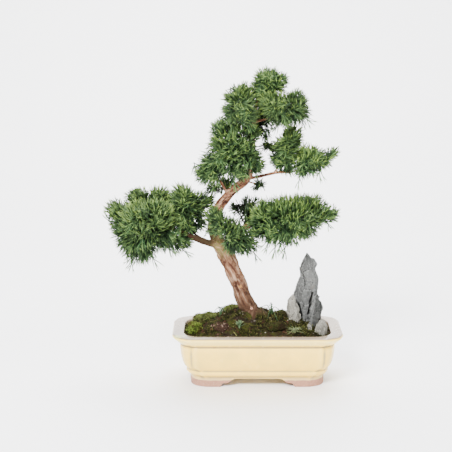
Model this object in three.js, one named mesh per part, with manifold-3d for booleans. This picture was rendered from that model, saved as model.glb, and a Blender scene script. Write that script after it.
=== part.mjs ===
// A chinese juniper bonsai in a glazed rectangular pot, with slate stones, moss and small weeds.
// Millimetres, +Z up, +X to the right, -Y towards the viewer. Sizes below are taken from the
// centre of the pot at the table; the last lines move the whole to the middle of its own box.
import * as THREE from 'three';
import { mergeVertices } from 'three/addons/utils/BufferGeometryUtils.js';
import Module from 'manifold-3d';

const wasm = await Module();
wasm.setup();

// Clearance between pieces that lie against each other, and the least detail that is kept
const GAP = 0.3;
const SMALLEST_DETAIL = 0.06;

// Pot: half length and half width over the rim, and heights from the table
const POT_HALF_LENGTH = 85.3;
const POT_HALF_WIDTH = 48;
const POT_HEIGHT = 54;
const POT_FLOOR = 13;
const FOOT_HEIGHT = 8.6;
const CORNER_STEPS = 3;
const CORNER_STRETCH = 1.3;

// Pot outside and inside, from the foot up over the rim and down to the floor.
// Each row: inset from the rim, height, corner size, step of the indented corner.
// A corner is longer across the pot than along it, by CORNER_STRETCH.
const POT_OUTSIDE = [
  [18, 0, 14, 1.5],
  [18, 9, 14, 1.5],
  [17.4, 10.8, 13.6, 1.8],
  [15.2, 11.9, 13.4, 2.4],
  [13.9, 13.8, 13, 2.6],
  [13.9, 15.6, 13, 2.6],
  [14.5, 17.1, 13, 2.6],
  [12, 20.4, 10, 2.8],
  [9.7, 27, 10.8, 3],
  [8.4, 34, 12.1, 3],
  [7.8, 42.2, 12.7, 3],
  [6.2, 45.4, 13, 3],
  [3, 48.4, 13.4, 3],
  [0.7, 50.6, 13.8, 3],
  [0, 52.2, 14, 3],
  [0.9, 53.5, 13.8, 3],
  [2, POT_HEIGHT, 13.6, 2.8],
];
const RIM_INSIDE = [11.5, POT_HEIGHT, 11, 2.4];
const POT_INSIDE = [
  [12, 52.4, 11, 2.4],
  [14, 32, 11.5, 2],
  [17.5, 17, 11, 1.6],
  [21, POT_FLOOR, 10, 1.2],
];

// Under the pot: the hollow inside the foot ring and the gaps that leave four feet
const FOOT_WIDTH = 10;
const FOOT_CORNER = 6;
const FOOT_STEP = 0.5;
const HOLLOW_HEIGHT = 9;
const LONG_GAP = [[36.5, 2.6], [34.3, 3.6], [29.7, 4], [27, 5.8], [25.2, 7.5], [23, FOOT_HEIGHT]];
const SHORT_GAP = [[12, 2.6], [10.8, 3.4], [8.8, 4], [7.2, 5.8], [6.2, 7.5], [5, FOOT_HEIGHT]];
const DRAIN_RADIUS = 6;
const DRAIN_X = 32;

// Drain screens: a square plate of mesh over each drain hole
const SCREEN_SIDE = 20;
const SCREEN_THICK = 1;
const SCREEN_HOLES = 2;
const SCREEN_HOLE_SIDE = 5.2;

// Soil: clearance to the pot, height at the edge, swell to the middle and rings of its mound
const SOIL_CLEAR = 0.4;
const SOIL_EDGE = 50.4;
const SOIL_SWELL = 16;

// Heap of soil round the trunk's foot: its height, middle and half widths
const HEAP = { height: 7, at: [-12, 6], half: [24, 20] };
const SOIL_RINGS = [0.9, 0.72, 0.5, 0.25];

// Trunk: centre line and radius at each point, from the buried foot to the leader's tip
const TRUNK = [
  [3, 0, 50, 9], [-1, 0, 62, 10.4], [-5.5, 0, 69, 9.8], [-11.3, 0, 79, 8.8], [-17.4, 0, 95.4, 7.8],
  [-24.7, 0, 113.5, 8], [-32.8, 0, 131.5, 8.2], [-38.6, 1, 140.5, 7.4], [-42.8, 2, 151.5, 6.4],
  [-43.5, 3, 163.6, 5.7], [-39.5, 4, 175, 5.4], [-27.5, 3, 190.6, 5], [-11.8, 0, 204.8, 4.4],
  [-7.6, 0, 213.5, 3.7], [-5.3, 2, 236.2, 3], [-5.3, 2, 249.1, 2.8], [-2, 0, 276, 2], [2.5, 0, 292, 1.2],
];

const TRUNK_STEPS = 26;
const TRUNK_SIDES = 8;
const ROOT_SIDES = 5;
const TWIG_SIDES = 4;
const TWIG_RADIUS = 2;

// Roots that spread from the trunk's foot into the soil: direction in degrees and reach.
// Each row of the way: share of the reach, height and radius.
const ROOTS = [[200, 24], [255, 20], [318, 22], [20, 23], [90, 20], [150, 22]];
const ROOT_WAY = [[0.15, 70, 5], [0.55, 67, 3.6], [1, 56, 1.8]];

// Branches: points from the parent branch outwards, with the radius at both ends
const BRANCHES = [
  // Lower left
  {
    from: 4.8, to: 1.5,
    way: [[-33, 1, 136], [-51.5, -1, 141.8], [-67.5, -3, 148.4], [-89.3, -5, 157.9], [-114, -10, 167]],
  },
  { from: 1.7, to: 1, way: [[-98, -6, 161], [-119, -1, 164], [-136, -1, 162.5]] },
  { from: 1.7, to: 1, way: [[-73, -3, 151], [-82, 10, 157], [-89, 20, 161]] },
  { from: 1.5, to: 1.1, way: [[-86, -4, 157], [-94, -6, 155], [-102, -8, 152]] },
  { from: 1.3, to: 1, way: [[-63, -2, 147], [-68, -2, 145], [-72, -2, 143]] },
  { from: 1.6, to: 1, way: [[-56, -2, 145], [-62, 3, 149], [-68, 5, 153]] },
  // Lower middle and right
  { from: 1.8, to: 1, way: [[-43, 0, 158], [-46, -13, 167], [-43, -26, 173]] },
  {
    from: 3, to: 1.2,
    way: [[-41, 4, 151], [-30, 8, 152], [-14, 8, 155], [10, 3, 161], [28, 0, 164.5], [44, -3, 165],
      [53, -4, 167]],
  },
  { from: 1.6, to: 1.1, way: [[-22, 8, 153.5], [-12, 20, 155], [-4, 26, 158]] },
  { from: 1.5, to: 1.1, way: [[4, 4, 159.5], [12, 13, 162], [17, 19, 164]] },
  { from: 1.5, to: 1.1, way: [[20, 1, 163], [29, 0, 169], [37, 0, 172.5]] },
  { from: 1.3, to: 1, way: [[26, 0, 164], [36, -3, 160], [45, -4, 156]] },
  // Upper left
  { from: 1.8, to: 1.1, way: [[-30, 3, 190], [-38, -3, 204], [-50, -7, 212]] },
  { from: 1.3, to: 1, way: [[-25, 3, 195], [-27, 9, 198], [-28, 14, 200]] },
  { from: 1.8, to: 1.2, way: [[-18, 1, 202], [-19, -8, 210], [-18, -14, 217]] },
  { from: 1.5, to: 1.1, way: [[-7, 1, 219], [-7, -6, 223], [-6, -11, 227]] },
  { from: 1.5, to: 1.1, way: [[-5.5, 2, 225], [-10, 13, 228], [-15, 21, 230]] },
  // Crown
  { from: 1.8, to: 1.1, way: [[-5, 2, 251], [-13, -7, 263], [-22, -11, 271]] },
  { from: 1.4, to: 1, way: [[-5, 1.5, 254], [-3, 9, 256], [-2, 17, 257]] },
  { from: 1.6, to: 1.1, way: [[-4, 1, 262], [10, -5, 266], [21, -9, 269.5]] },
  // Middle right
  {
    from: 2.1, to: 1.1,
    way: [[-14, 0, 205], [3.5, 0, 208.6], [19.5, 0, 212], [33, -1, 213], [42, -5, 216]],
  },
  { from: 1.2, to: 0.9, way: [[17, 0, 211.5], [19, 1, 217], [20, 2, 223]] },
  { from: 1.2, to: 0.9, way: [[29, -0.5, 212.7], [32, 9, 221], [33, 17, 231]] },
  { from: 1.1, to: 0.8, way: [[-13, 0, 204], [-6, 6, 201], [-1, 9, 199]] },
];

// Foliage: each pad is the lobes of leafy shoots that one branch carries.
// A lobe is its middle and its reach to the shoots' tips. A pad's lobes follow one another
// along its leafy stem.
const PADS = {
  left_front: [[-142, 4, 175, 12], [-137, -2, 160, 13], [-117, -16, 169, 19], [-97, -18, 174, 16],
    [-104, -8, 151, 16], [-125, -4, 141, 16], [-114, -10, 132, 12], [-87, -8, 146, 13], [-73, -2, 142, 10]],
  left_back: [[-122, 12, 184, 13], [-97, 20, 183, 15], [-90, 24, 162, 15], [-114, 22, 159, 17]],
  left_inner: [[-49, 11, 183, 9], [-61, 8, 178, 13], [-76, 2, 188, 15], [-79, -4, 167, 15],
    [-69, 6, 153, 10], [-56, 9, 159, 8]],
  centre: [[-43, -28, 174, 11], [-45, -16, 159, 8], [-32, -30, 164, 12], [-20, -26, 154, 13],
    [-23, -27, 142, 10], [-7, -25, 143, 10]],
  right_front: [[7, -8, 173, 15], [24, -4, 176, 16], [40, 0, 175, 16], [55, 4, 179, 13], [74, 2, 171, 10],
    [55, -4, 167, 13], [37, -14, 162, 15], [47, -4, 155, 12], [29, -8, 148, 11], [14, -18, 154, 14],
    [-1, -14, 156, 11]],
  right_back: [[18, 22, 164, 15], [37, 24, 167, 15]],
  low_back: [[-24, 27, 172, 8], [-13, 30, 171, 11], [-4, 26, 177, 11], [-5, 28, 158, 13]],
  upper_left: [[-51, -8, 213, 14], [-44, -5, 224, 12], [-31, -12, 228, 17], [-36, -8, 243, 14],
    [-37, -3, 258, 11], [-22, -9, 256, 11], [-6, -13, 254, 10], [-15, -15, 242, 14], [-6, -14, 228, 12],
    [-18, -16, 219, 14], [1, -8, 219, 9]],
  upper_back: [[-16, 24, 230, 15]],
  upper_dark: [[-29, 16, 200, 11], [-46, 10, 194, 9]],
  crown_left: [[-22, -6, 286, 13], [-14, -5, 291, 13], [-24, -12, 272, 14], [-12, -20, 273, 15]],
  crown_top: [[9, 0, 305, 14], [21, -4, 303, 11], [4, 2, 290, 15]],
  crown_right: [[37, 0, 284, 13], [39, -2, 273, 15], [24, -10, 270, 14], [13, -16, 282, 15]],
  crown_back: [[5, 8, 250, 9], [-2, 20, 257, 14], [8, 22, 274, 16], [34, 20, 276, 13]],
  right_mid: [[35, 2, 249, 12.5], [28, -4, 234, 15], [20, 2, 225, 11], [31, -2, 217, 8]],
  right_mid_back: [[33, 20, 234, 13], [9, 13, 238, 8], [20, 16, 236, 8]],
  right_mid_tip: [[45, -6, 216, 11], [48, -2, 229, 14], [60, 2, 224, 13], [76, 0, 233, 7]],
  under_tuft: [[1, 10, 199, 8]],
};

// Lobes: each has a small core whose faces are drawn out into tufts, and forks of shoots
// that stand out past them. Cores of a pad hang together by a leafy stem.
// Shares are of a lobe's reach.
const CORE_SHARE = 0.42;
const STEM_RADIUS = 2.6;
const TUFT_SHARE = [0.7, 0.95];
const TUFT_LEAN = 0.35;
const SHOOT_ROOT_SHARE = 0.13;
const SHOOT_RADIUS = 1.2;
const SHOOT_EXTRA = 4;
const SHOOT_BARE = 0.4;
const FORK_TINES = 3;
const FORK_LEAN = [0.35, 0.65];
const GOLDEN_ANGLE = Math.PI * (3 - Math.sqrt(5));
const AREA_PER_FORK = 1500;
const HIDDEN_SHARE = 0.74;
const LEAF_CLEAR = 0.45;

// Stones: rings of height, middle x, middle y, half length and half depth, and a turn in degrees
const ROCKS = {
  rock_tall: {
    seed: 11, sides: 8, turn: 0,
    rings: [[44, 48, 14, 11, 7], [62, 48.3, 14, 11.8, 8.2], [80, 49.3, 14, 11.7, 8],
      [90, 50.2, 14, 11.2, 7.6], [103, 51.7, 14, 9.6, 6.8], [111.3, 51, 14, 7.8, 6],
      [116, 52.5, 14, 8.5, 5.4], [121, 52.2, 14, 5.3, 4.2], [125, 51.3, 14, 2.7, 2.6],
      [128.4, 50.6, 14, 0, 0]],
  },
  rock_left: {
    seed: 23, sides: 6, turn: 0,
    rings: [[46, 37, -1, 6, 4.4], [58, 37, -1, 7.4, 5], [67, 37.4, -1, 7.8, 5], [74, 36, -1, 6.9, 4.6],
      [82, 35.2, -1, 4.4, 3.4], [86, 35.6, -1, 2.4, 2], [89, 36, -1, 0, 0]],
  },
  rock_right: {
    seed: 37, sides: 6, turn: 0,
    rings: [[46, 58.5, -3, 5.6, 4.2], [58, 58.5, -3, 5.8, 4.6], [66, 58.6, -3, 5.9, 4.6],
      [74, 59.8, -3, 5.8, 4.4], [80, 60.1, -3, 4.5, 3.8], [86, 60.1, -3, 2.4, 2.2], [90.2, 60.2, -3, 0, 0]],
  },
  rock_low: {
    seed: 41, sides: 7, turn: 0,
    rings: [[46, 63, -19, 5.4, 4.4], [55, 63.3, -19, 6.1, 5], [61, 64.2, -19, 5.6, 4.6],
      [65.5, 64.6, -18.6, 3, 2.6], [67.6, 65.3, -18.4, 0, 0]],
  },
  rock_chip: {
    seed: 53, sides: 6, turn: 20,
    rings: [[49, 52, -16, 2.2, 2], [56, 52, -16, 2.7, 2.4], [59.4, 51.8, -16, 2.2, 2],
      [61.4, 51.5, -16, 0, 0]],
  },
};

// Cushions of moss and a lump of old clay on the soil: middle, half sizes and lumps
const BROAD_CUSHION = 12.5;
const CUSHIONS = {
  moss_bright: { at: [-62.5, -14], size: [9, 13, 8], seed: 3 },
  moss_left: { at: [-48, 10], size: [17, 13, 6], seed: 5 },
  moss_middle: { at: [-25, 13], size: [11, 9, 6.5], seed: 7 },
  moss_right: { at: [26, 4], size: [7.5, 9, 6], seed: 9 },
  moss_front: { at: [18, -24], size: [14, 7.5, 4.5], seed: 13 },
  clay_lump: { at: [-36.7, -22], size: [9.5, 8.5, 6], seed: 17 },
};

// Weeds: where they stand, how tall, and how their leaves are set
const WEED_STEM = [1.3, 0.8];
const WEED_DEPTH = 5;
const WEEDS = {
  seedling: { at: [-37, -3], height: 10, leaves: 12, reach: 7.5, rise: 0.25, width: 0.8, bare: 0.5 },
  moss_sprig: { at: [-18.5, -25], height: 5, leaves: 9, reach: 7, rise: 0.35, width: 0.9, bare: 0.1 },
  dark_weed: { at: [14, -4], height: 15, leaves: 9, reach: 6, rise: 0.6, width: 1.5, bare: 0.45 },
  grass_tuft: { at: [36, -28], height: 4, leaves: 8, reach: 12, rise: 0.9, width: 0.7, bare: 0.1 },
};

const COLOURS = {
  glaze: 0xf1e3c3, screen: 0x33363a, soil: 0x4a3a2c, bark: 0x94664a, rock: 0x868b8f,
  moss: 0x5c6b2a, brightMoss: 0x9bb23a, clay: 0x7a5c42, leaf: 0x3f7a2c, weed: 0x4d7a34,
};

// A repeatable random number between 0 and 1
function randomFrom(seed) {
  let state = seed;
  return () => {
    state = (state + 0x6d2b79f5) | 0;
    let t = Math.imul(state ^ (state >>> 15), 1 | state);
    t = (t + Math.imul(t ^ (t >>> 7), 61 | t)) ^ t;
    return ((t ^ (t >>> 14)) >>> 0) / 4294967296;
  };
}

function vector(point) {
  return new THREE.Vector3(point[0], point[1], point[2]);
}

// A closed geometry as a solid that can be joined and cut, so that shared corners are merged
function solidOf(geometry) {
  const bare = geometry.clone();
  bare.deleteAttribute('normal');
  bare.deleteAttribute('uv');
  const merged = mergeVertices(bare, 1e-4);
  return solidFrom(merged.attributes.position.array, merged.index.array);
}

function solidFrom(points, triangles) {
  return new wasm.Manifold(new wasm.Mesh({
    numProp: 3,
    vertProperties: Float32Array.from(points),
    triVerts: Uint32Array.from(triangles),
  }));
}

function geometryOf(solid) {
  const mesh = solid.getMesh();
  const geometry = new THREE.BufferGeometry();
  geometry.setAttribute('position', new THREE.BufferAttribute(mesh.vertProperties, 3));
  geometry.setIndex(new THREE.BufferAttribute(mesh.triVerts, 1));
  return geometry;
}

function joined(solids) {
  return wasm.Manifold.union(solids);
}

// The largest body of a solid, with flat faces made whole and without scraps or sealed hollows
function cleaned(solid) {
  const bodies = solid.asOriginal().simplify(SMALLEST_DETAIL).decompose();
  return bodies.reduce((best, each) => (each.volume() > best.volume() ? each : best));
}

// A closed solid through rings of equally many points, running up, with a flat or pointed end
function loft(rings) {
  const count = rings[0].length;
  const points = rings.flat();
  const middle = (ring) => ring
    .reduce((sum, p) => sum.map((v, i) => v + p[i]), [0, 0, 0])
    .map((v) => v / count);
  const first = points.length;
  points.push(middle(rings[0]), middle(rings[rings.length - 1]));
  const triangles = [];
  for (let k = 0; k < count; k++) {
    const next = (k + 1) % count;
    triangles.push(first, next, k);
    for (let r = 0; r < rings.length - 1; r++) {
      const low = r * count;
      const high = low + count;
      triangles.push(low + k, low + next, high + next, low + k, high + next, high + k);
    }
    const top = (rings.length - 1) * count;
    triangles.push(top + k, top + next, first + 1);
  }
  return solidFrom(points.flat(), triangles);
}

// A tube of changing radius along a smooth curve; the points are x, y, z and radius
function taperedTube(points, steps, sides, grow = 0) {
  const curve = new THREE.CatmullRomCurve3(points.map(vector), false, 'centripetal');
  const frames = curve.computeFrenetFrames(steps, false);
  const rings = [];
  for (let i = 0; i <= steps; i++) {
    const t = i / steps;
    const place = t * (points.length - 1);
    const low = Math.min(points.length - 2, Math.floor(place));
    const radius = THREE.MathUtils.lerp(points[low][3], points[low + 1][3], place - low) + grow;
    const centre = curve.getPoint(t);
    rings.push(Array.from({ length: sides }, (_, k) => {
      const angle = (2 * Math.PI * k) / sides;
      return centre.clone()
        .addScaledVector(frames.normals[i], radius * Math.cos(angle))
        .addScaledVector(frames.binormals[i], radius * Math.sin(angle))
        .toArray();
    }));
  }
  return loft(rings);
}

// The pot's plan: straight sides that stand proud of rounded corners by a small step
function potRing([inset, height, corner, step]) {
  const length = POT_HALF_LENGTH - inset;
  const width = POT_HALF_WIDTH - inset;
  const deep = CORNER_STRETCH * corner;
  const quarter = [[length, width - deep]];
  for (let k = 0; k <= CORNER_STEPS; k++) {
    const angle = (Math.PI / 2) * (k / CORNER_STEPS);
    quarter.push([
      length - corner + (corner - step) * Math.cos(angle),
      width - deep + (deep - step) * Math.sin(angle),
    ]);
  }
  quarter.push([length - corner, width]);
  const half = [...quarter, ...quarter.map(([x, y]) => [-x, y]).reverse()];
  return [...half, ...half.map(([x, y]) => [-x, -y])].map(([x, y]) => [x, y, height]);
}

// An arch-shaped gap between two feet, as wide as the pot
function footGap(profile, alongX) {
  const shape = new THREE.Shape();
  shape.moveTo(-profile[0][0], -1);
  for (const [x, z] of profile) shape.lineTo(-x, z);
  for (const [x, z] of [...profile].reverse()) shape.lineTo(x, z);
  shape.lineTo(profile[0][0], -1);
  const depth = 2 * POT_HALF_LENGTH;
  const gap = new THREE.ExtrudeGeometry(shape, { depth, bevelEnabled: false });
  gap.rotateX(Math.PI / 2).translate(0, depth / 2, 0);
  if (alongX) gap.rotateZ(Math.PI / 2);
  return solidOf(gap);
}

function upright(radius, low, high, sides, x, y) {
  const post = new THREE.CylinderGeometry(radius, radius, high - low, sides);
  return solidOf(post.rotateX(Math.PI / 2).translate(x, y, (low + high) / 2));
}

function makePot() {
  const whole = loft([...POT_OUTSIDE, RIM_INSIDE, ...POT_INSIDE].map(potRing));
  const inset = POT_OUTSIDE[0][0] + FOOT_WIDTH;
  const hollow = loft([-1, HOLLOW_HEIGHT].map((z) => potRing([inset, z, FOOT_CORNER, FOOT_STEP])));
  const drains = [-DRAIN_X, DRAIN_X].map((x) => upright(DRAIN_RADIUS, 5, POT_FLOOR + 2, 16, x, 0));
  return whole.subtract(joined([hollow, footGap(LONG_GAP, false), footGap(SHORT_GAP, true), ...drains]));
}

// Plate of mesh that keeps the soil in over a drain hole
function makeScreen(x) {
  const pitch = SCREEN_SIDE / (SCREEN_HOLES + 1);
  const low = POT_FLOOR + GAP;
  const block = (side, height, cx, cy) => solidOf(
    new THREE.BoxGeometry(side, side, height).translate(cx, cy, low + SCREEN_THICK / 2));
  const holes = [];
  for (let i = 0; i < SCREEN_HOLES; i++) {
    for (let j = 0; j < SCREEN_HOLES; j++) {
      const shift = (k) => (k - (SCREEN_HOLES - 1) / 2) * pitch;
      holes.push(block(SCREEN_HOLE_SIDE, 2 * SCREEN_THICK, x + shift(i), shift(j)));
    }
  }
  return block(SCREEN_SIDE, SCREEN_THICK, x, 0).subtract(joined(holes));
}

// Height of the soil's surface over a place in the pot
function ground(x, y) {
  const [inset] = POT_INSIDE[0];
  const u = Math.abs(x) / (POT_HALF_LENGTH - inset);
  const v = Math.abs(y) / (POT_HALF_WIDTH - inset);
  const edge = Math.min(1, (u ** 4 + v ** 4) ** 0.25);
  const rightFall = THREE.MathUtils.smoothstep(x, 20, 60);
  const rough = 0.7 * Math.sin(0.31 * x + 0.5) * Math.cos(0.37 * y) + 0.5 * Math.sin(0.19 * x - 0.43 * y);
  const heap = HEAP.height * Math.exp(-(((x - HEAP.at[0]) / HEAP.half[0]) ** 2)
    - ((y - HEAP.at[1]) / HEAP.half[1]) ** 2);
  const swell = SOIL_SWELL * (1 - 0.4 * rightFall) + rough + heap;
  return SOIL_EDGE + swell * (1 - edge ** 2.4);
}

// Soil that fills the pot, up to its mound
function makeSoil() {
  const rows = POT_INSIDE.map(([inset, ...shape]) => [inset + SOIL_CLEAR, ...shape]);
  const [top, ...lower] = rows.map(potRing);
  const floor = lower.pop().map(([x, y, z]) => [x, y, z + GAP]);
  const edge = top.map(([x, y]) => [x, y, SOIL_EDGE]);
  const mound = SOIL_RINGS.map((share) => edge.map(([x, y]) => {
    const across = [x * share, y * share];
    return [...across, ground(...across)];
  }));
  return loft([floor, ...lower.reverse(), edge, ...mound]);
}

// The whole woody plant: trunk, roots and branches, thicker by grow
function makeWood(grow = 0) {
  const trunk = taperedTube(TRUNK, TRUNK_STEPS, TRUNK_SIDES, grow);
  const roots = ROOTS.map(([degrees, reach]) => {
    const angle = THREE.MathUtils.degToRad(degrees);
    const points = ROOT_WAY.map(([share, height, radius]) => (
      [reach * share * Math.cos(angle), reach * share * Math.sin(angle), height, radius]));
    return taperedTube(points, ROOT_WAY.length, ROOT_SIDES, grow);
  });
  const branches = BRANCHES.map(({ from, to, way }) => {
    const points = way.map((p, i) => [...p, THREE.MathUtils.lerp(from, to, i / (way.length - 1))]);
    return taperedTube(points, way.length, from > TWIG_RADIUS ? ROOT_SIDES : TWIG_SIDES, grow);
  });
  return joined([trunk, ...roots, ...branches]);
}

// A split slate stone: uneven rings that narrow to an edge or a point
function makeRock({ seed, sides, turn, rings }, grow = 0) {
  const random = randomFrom(seed);
  const uneven = Array.from({ length: sides }, () => 0.92 + 0.14 * random());
  const start = THREE.MathUtils.degToRad(turn);
  return loft(rings.map(([height, x, y, length, depth]) => (
    Array.from({ length: sides }, (_, k) => {
      const angle = start + (2 * Math.PI * k) / sides;
      const share = uneven[k] * (0.96 + 0.08 * random());
      const reach = (half) => Math.max(half, 0.05) * share + grow;
      return [x + reach(length) * Math.cos(angle), y + reach(depth) * Math.sin(angle),
        height + (length === 0 ? grow : 0)];
    }))));
}

// A lumpy cushion that lies on the soil
function makeCushion({ at: [x, y], size, seed }, soil) {
  const lump = new THREE.IcosahedronGeometry(1, size[0] > BROAD_CUSHION ? 2 : 1);
  const place = lump.attributes.position;
  for (let i = 0; i < place.count; i++) {
    const p = new THREE.Vector3().fromBufferAttribute(place, i);
    const wave = Math.sin(5 * p.x + seed) * Math.cos(6 * p.y - seed) + 0.6 * Math.sin(9 * p.z + 4 * p.x);
    p.multiplyScalar(1 + 0.07 * wave);
    place.setXYZ(i, p.x * size[0], p.y * size[1], p.z * size[2]);
  }
  const low = ground(x, y) - 1.5;
  return solidOf(lump.translate(x, y, low)).subtract(soil.translate([0, 0, GAP]));
}

// A three-sided spike from root to tip
function spike(root, tip, radius) {
  const along = tip.clone().sub(root).normalize();
  const side = new THREE.Vector3(along.y, -along.x, 0);
  if (side.lengthSq() < 1e-4) side.set(1, 0, 0);
  side.normalize();
  const up = along.clone().cross(side);
  const points = [tip.x, tip.y, tip.z];
  for (let k = 0; k < 3; k++) {
    const angle = (2 * Math.PI * k) / 3;
    const corner = root.clone()
      .addScaledVector(side, radius * Math.cos(angle))
      .addScaledVector(up, radius * Math.sin(angle));
    points.push(corner.x, corner.y, corner.z);
  }
  return solidFrom(points, [0, 1, 2, 0, 2, 3, 0, 3, 1, 1, 3, 2]);
}

// A small weed: a stem with leaves all round it
function makeWeed({ at: [x, y], height, leaves, reach, rise, width, bare }) {
  const foot = ground(x, y);
  const [thick, thin] = WEED_STEM;
  const stem = taperedTube([[x, y, foot - WEED_DEPTH, thick], [x, y, foot + height, thin]], 1, 5);
  const blades = Array.from({ length: leaves }, (_, k) => {
    const angle = k * 2.4;
    const start = foot + height * (bare + (0.9 - bare) * (k / leaves));
    const root = new THREE.Vector3(x, y, start);
    const out = new THREE.Vector3(Math.cos(angle), Math.sin(angle), rise).normalize();
    return spike(root, root.clone().addScaledVector(out, reach), width);
  });
  return joined([stem, ...blades]);
}

// What takes up room: a straight stretch that is thick at its root and thinner to its tip
function stretch(pad, root, tip, rootThick, tipThick) {
  return { pad, line: new THREE.Line3(root, tip), rootThick, tipThick };
}

function thickAt({ rootThick, tipThick }, share) {
  return THREE.MathUtils.lerp(rootThick, tipThick, share);
}

// Whether two stretches keep clear of each other
function areApart(one, other) {
  const at = new THREE.Vector3();
  const near = new THREE.Vector3();
  return [0, 0.2, 0.4, 0.6, 0.8, 1].every((share) => {
    one.line.at(share, at);
    const far = other.line.closestPointToPointParameter(at, true) || 0;
    other.line.at(far, near);
    return at.distanceTo(near) > thickAt(one, share) + thickAt(other, far) + LEAF_CLEAR;
  });
}

// Whether a stretch shows its tip outside its own pad and crosses no other piece
function hasRoom(room, taken) {
  const { pad, line } = room;
  if (PADS[pad].some((lobe) => line.end.distanceTo(vector(lobe)) < HIDDEN_SHARE * lobe[3])) return false;
  return taken.every((other) => other.pad === pad || areApart(room, other));
}

// The room that wood, cores and leafy stems take up
function roomTaken() {
  const wood = [TRUNK, ...BRANCHES.map(({ from, way }) => way.map((p) => [...p, from]))].flatMap((line) => (
    line.slice(1).map((p, i) => stretch('wood', vector(line[i]), vector(p), line[i][3], p[3]))));
  const leaves = Object.entries(PADS).flatMap(([pad, lobes]) => lobes.flatMap((lobe, i) => {
    const next = lobes[i + 1] ?? lobe;
    const core = CORE_SHARE * lobe[3];
    return [
      stretch(pad, vector(lobe), vector(lobe), core, core),
      stretch(pad, vector(lobe), vector(next), STEM_RADIUS, STEM_RADIUS),
    ];
  }));
  return [...wood, ...leaves];
}

// A lobe's core with each face drawn out into a tuft, where there is room for it
function makeTufts(pad, lobe, random, taken) {
  const reach = lobe[3];
  const middle = vector(lobe);
  const ball = new THREE.IcosahedronGeometry(CORE_SHARE * reach, 0);
  ball.rotateX(random()).rotateZ(6 * random()).translate(...middle.toArray());
  const place = ball.attributes.position;
  const corners = [];
  for (let i = 0; i < place.count; i += 3) {
    const [a, b, c] = [0, 1, 2].map((k) => new THREE.Vector3().fromBufferAttribute(place, i + k));
    const root = a.clone().add(b).add(c).divideScalar(3);
    const way = root.clone().sub(middle).normalize();
    const lean = new THREE.Vector3(random() - 0.5, random() - 0.5, random() - 0.3);
    way.addScaledVector(lean, TUFT_LEAN).normalize();
    const length = reach * THREE.MathUtils.lerp(...TUFT_SHARE, random());
    const tip = middle.clone().addScaledVector(way, length);
    const room = stretch(pad, root, tip, 0.5 * a.distanceTo(b), 0.2);
    if (!hasRoom(room, taken)) {
      corners.push(a, b, c);
      continue;
    }
    taken.push(room);
    corners.push(a, b, tip, b, c, tip, c, a, tip);
  }
  return solidOf(new THREE.BufferGeometry().setFromPoints(corners));
}

// Forks of shoots all over a lobe, each from one root in the core
function makeShoots(pad, lobe, random, taken) {
  const reach = lobe[3];
  const forks = Math.round((4 * Math.PI * reach ** 2) / AREA_PER_FORK);
  const shoots = [];
  for (let k = 0; k < forks; k++) {
    const height = 1 - (2 * (k + 0.5)) / forks;
    const angle = k * GOLDEN_ANGLE + random();
    const flat = Math.sqrt(1 - height * height);
    const out = new THREE.Vector3(flat * Math.cos(angle), flat * Math.sin(angle), height);
    const root = vector(lobe).addScaledVector(out, SHOOT_ROOT_SHARE * reach);
    const side = new THREE.Vector3(-out.y, out.x, 0.01).normalize();
    const turn = 6 * random();
    for (let j = 0; j < FORK_TINES; j++) {
      const lean = side.clone().applyAxisAngle(out, turn + (2 * Math.PI * j) / FORK_TINES);
      const way = out.clone().addScaledVector(lean, THREE.MathUtils.lerp(...FORK_LEAN, random()));
      way.normalize();
      const length = (1 - SHOOT_ROOT_SHARE) * reach + SHOOT_EXTRA * random();
      const tip = root.clone().addScaledVector(way, length);
      const bare = root.clone().lerp(tip, SHOOT_BARE);
      const room = stretch(pad, bare, tip, 0.7 * SHOOT_RADIUS, 0.1);
      if (hasRoom(room, taken)) {
        taken.push(room);
        shoots.push(spike(root, tip, SHOOT_RADIUS));
      }
    }
  }
  return shoots;
}

// The leafy stem from one lobe of a pad to the next
function makeStem(lobe, next) {
  return taperedTube([lobe, next].map((p) => [p[0], p[1], p[2], STEM_RADIUS]), 1, 5);
}

// All pads of foliage
function makePads(wood) {
  const taken = roomTaken();
  return Object.entries(PADS).map(([pad, lobes], number) => {
    const random = randomFrom(100 + number);
    const tufts = lobes.map((lobe) => makeTufts(pad, lobe, random, taken));
    const shoots = lobes.flatMap((lobe) => makeShoots(pad, lobe, random, taken));
    const stems = lobes.slice(1).map((lobe, i) => makeStem(lobes[i], lobe));
    return [pad, joined([...tufts, ...shoots, ...stems]).subtract(wood)];
  });
}

const group = new THREE.Group();

function addPiece(name, solid, colour, roughness) {
  const material = new THREE.MeshStandardMaterial({ color: colour, roughness, metalness: 0 });
  const mesh = new THREE.Mesh(geometryOf(cleaned(solid)), material);
  mesh.name = name;
  group.add(mesh);
}

// Pot and what fills it
addPiece('pot', makePot(), COLOURS.glaze, 0.25);
const screens = [-DRAIN_X, DRAIN_X].map(makeScreen);
addPiece('drain_screen_left', screens[0], COLOURS.screen, 0.6);
addPiece('drain_screen_right', screens[1], COLOURS.screen, 0.6);

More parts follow.
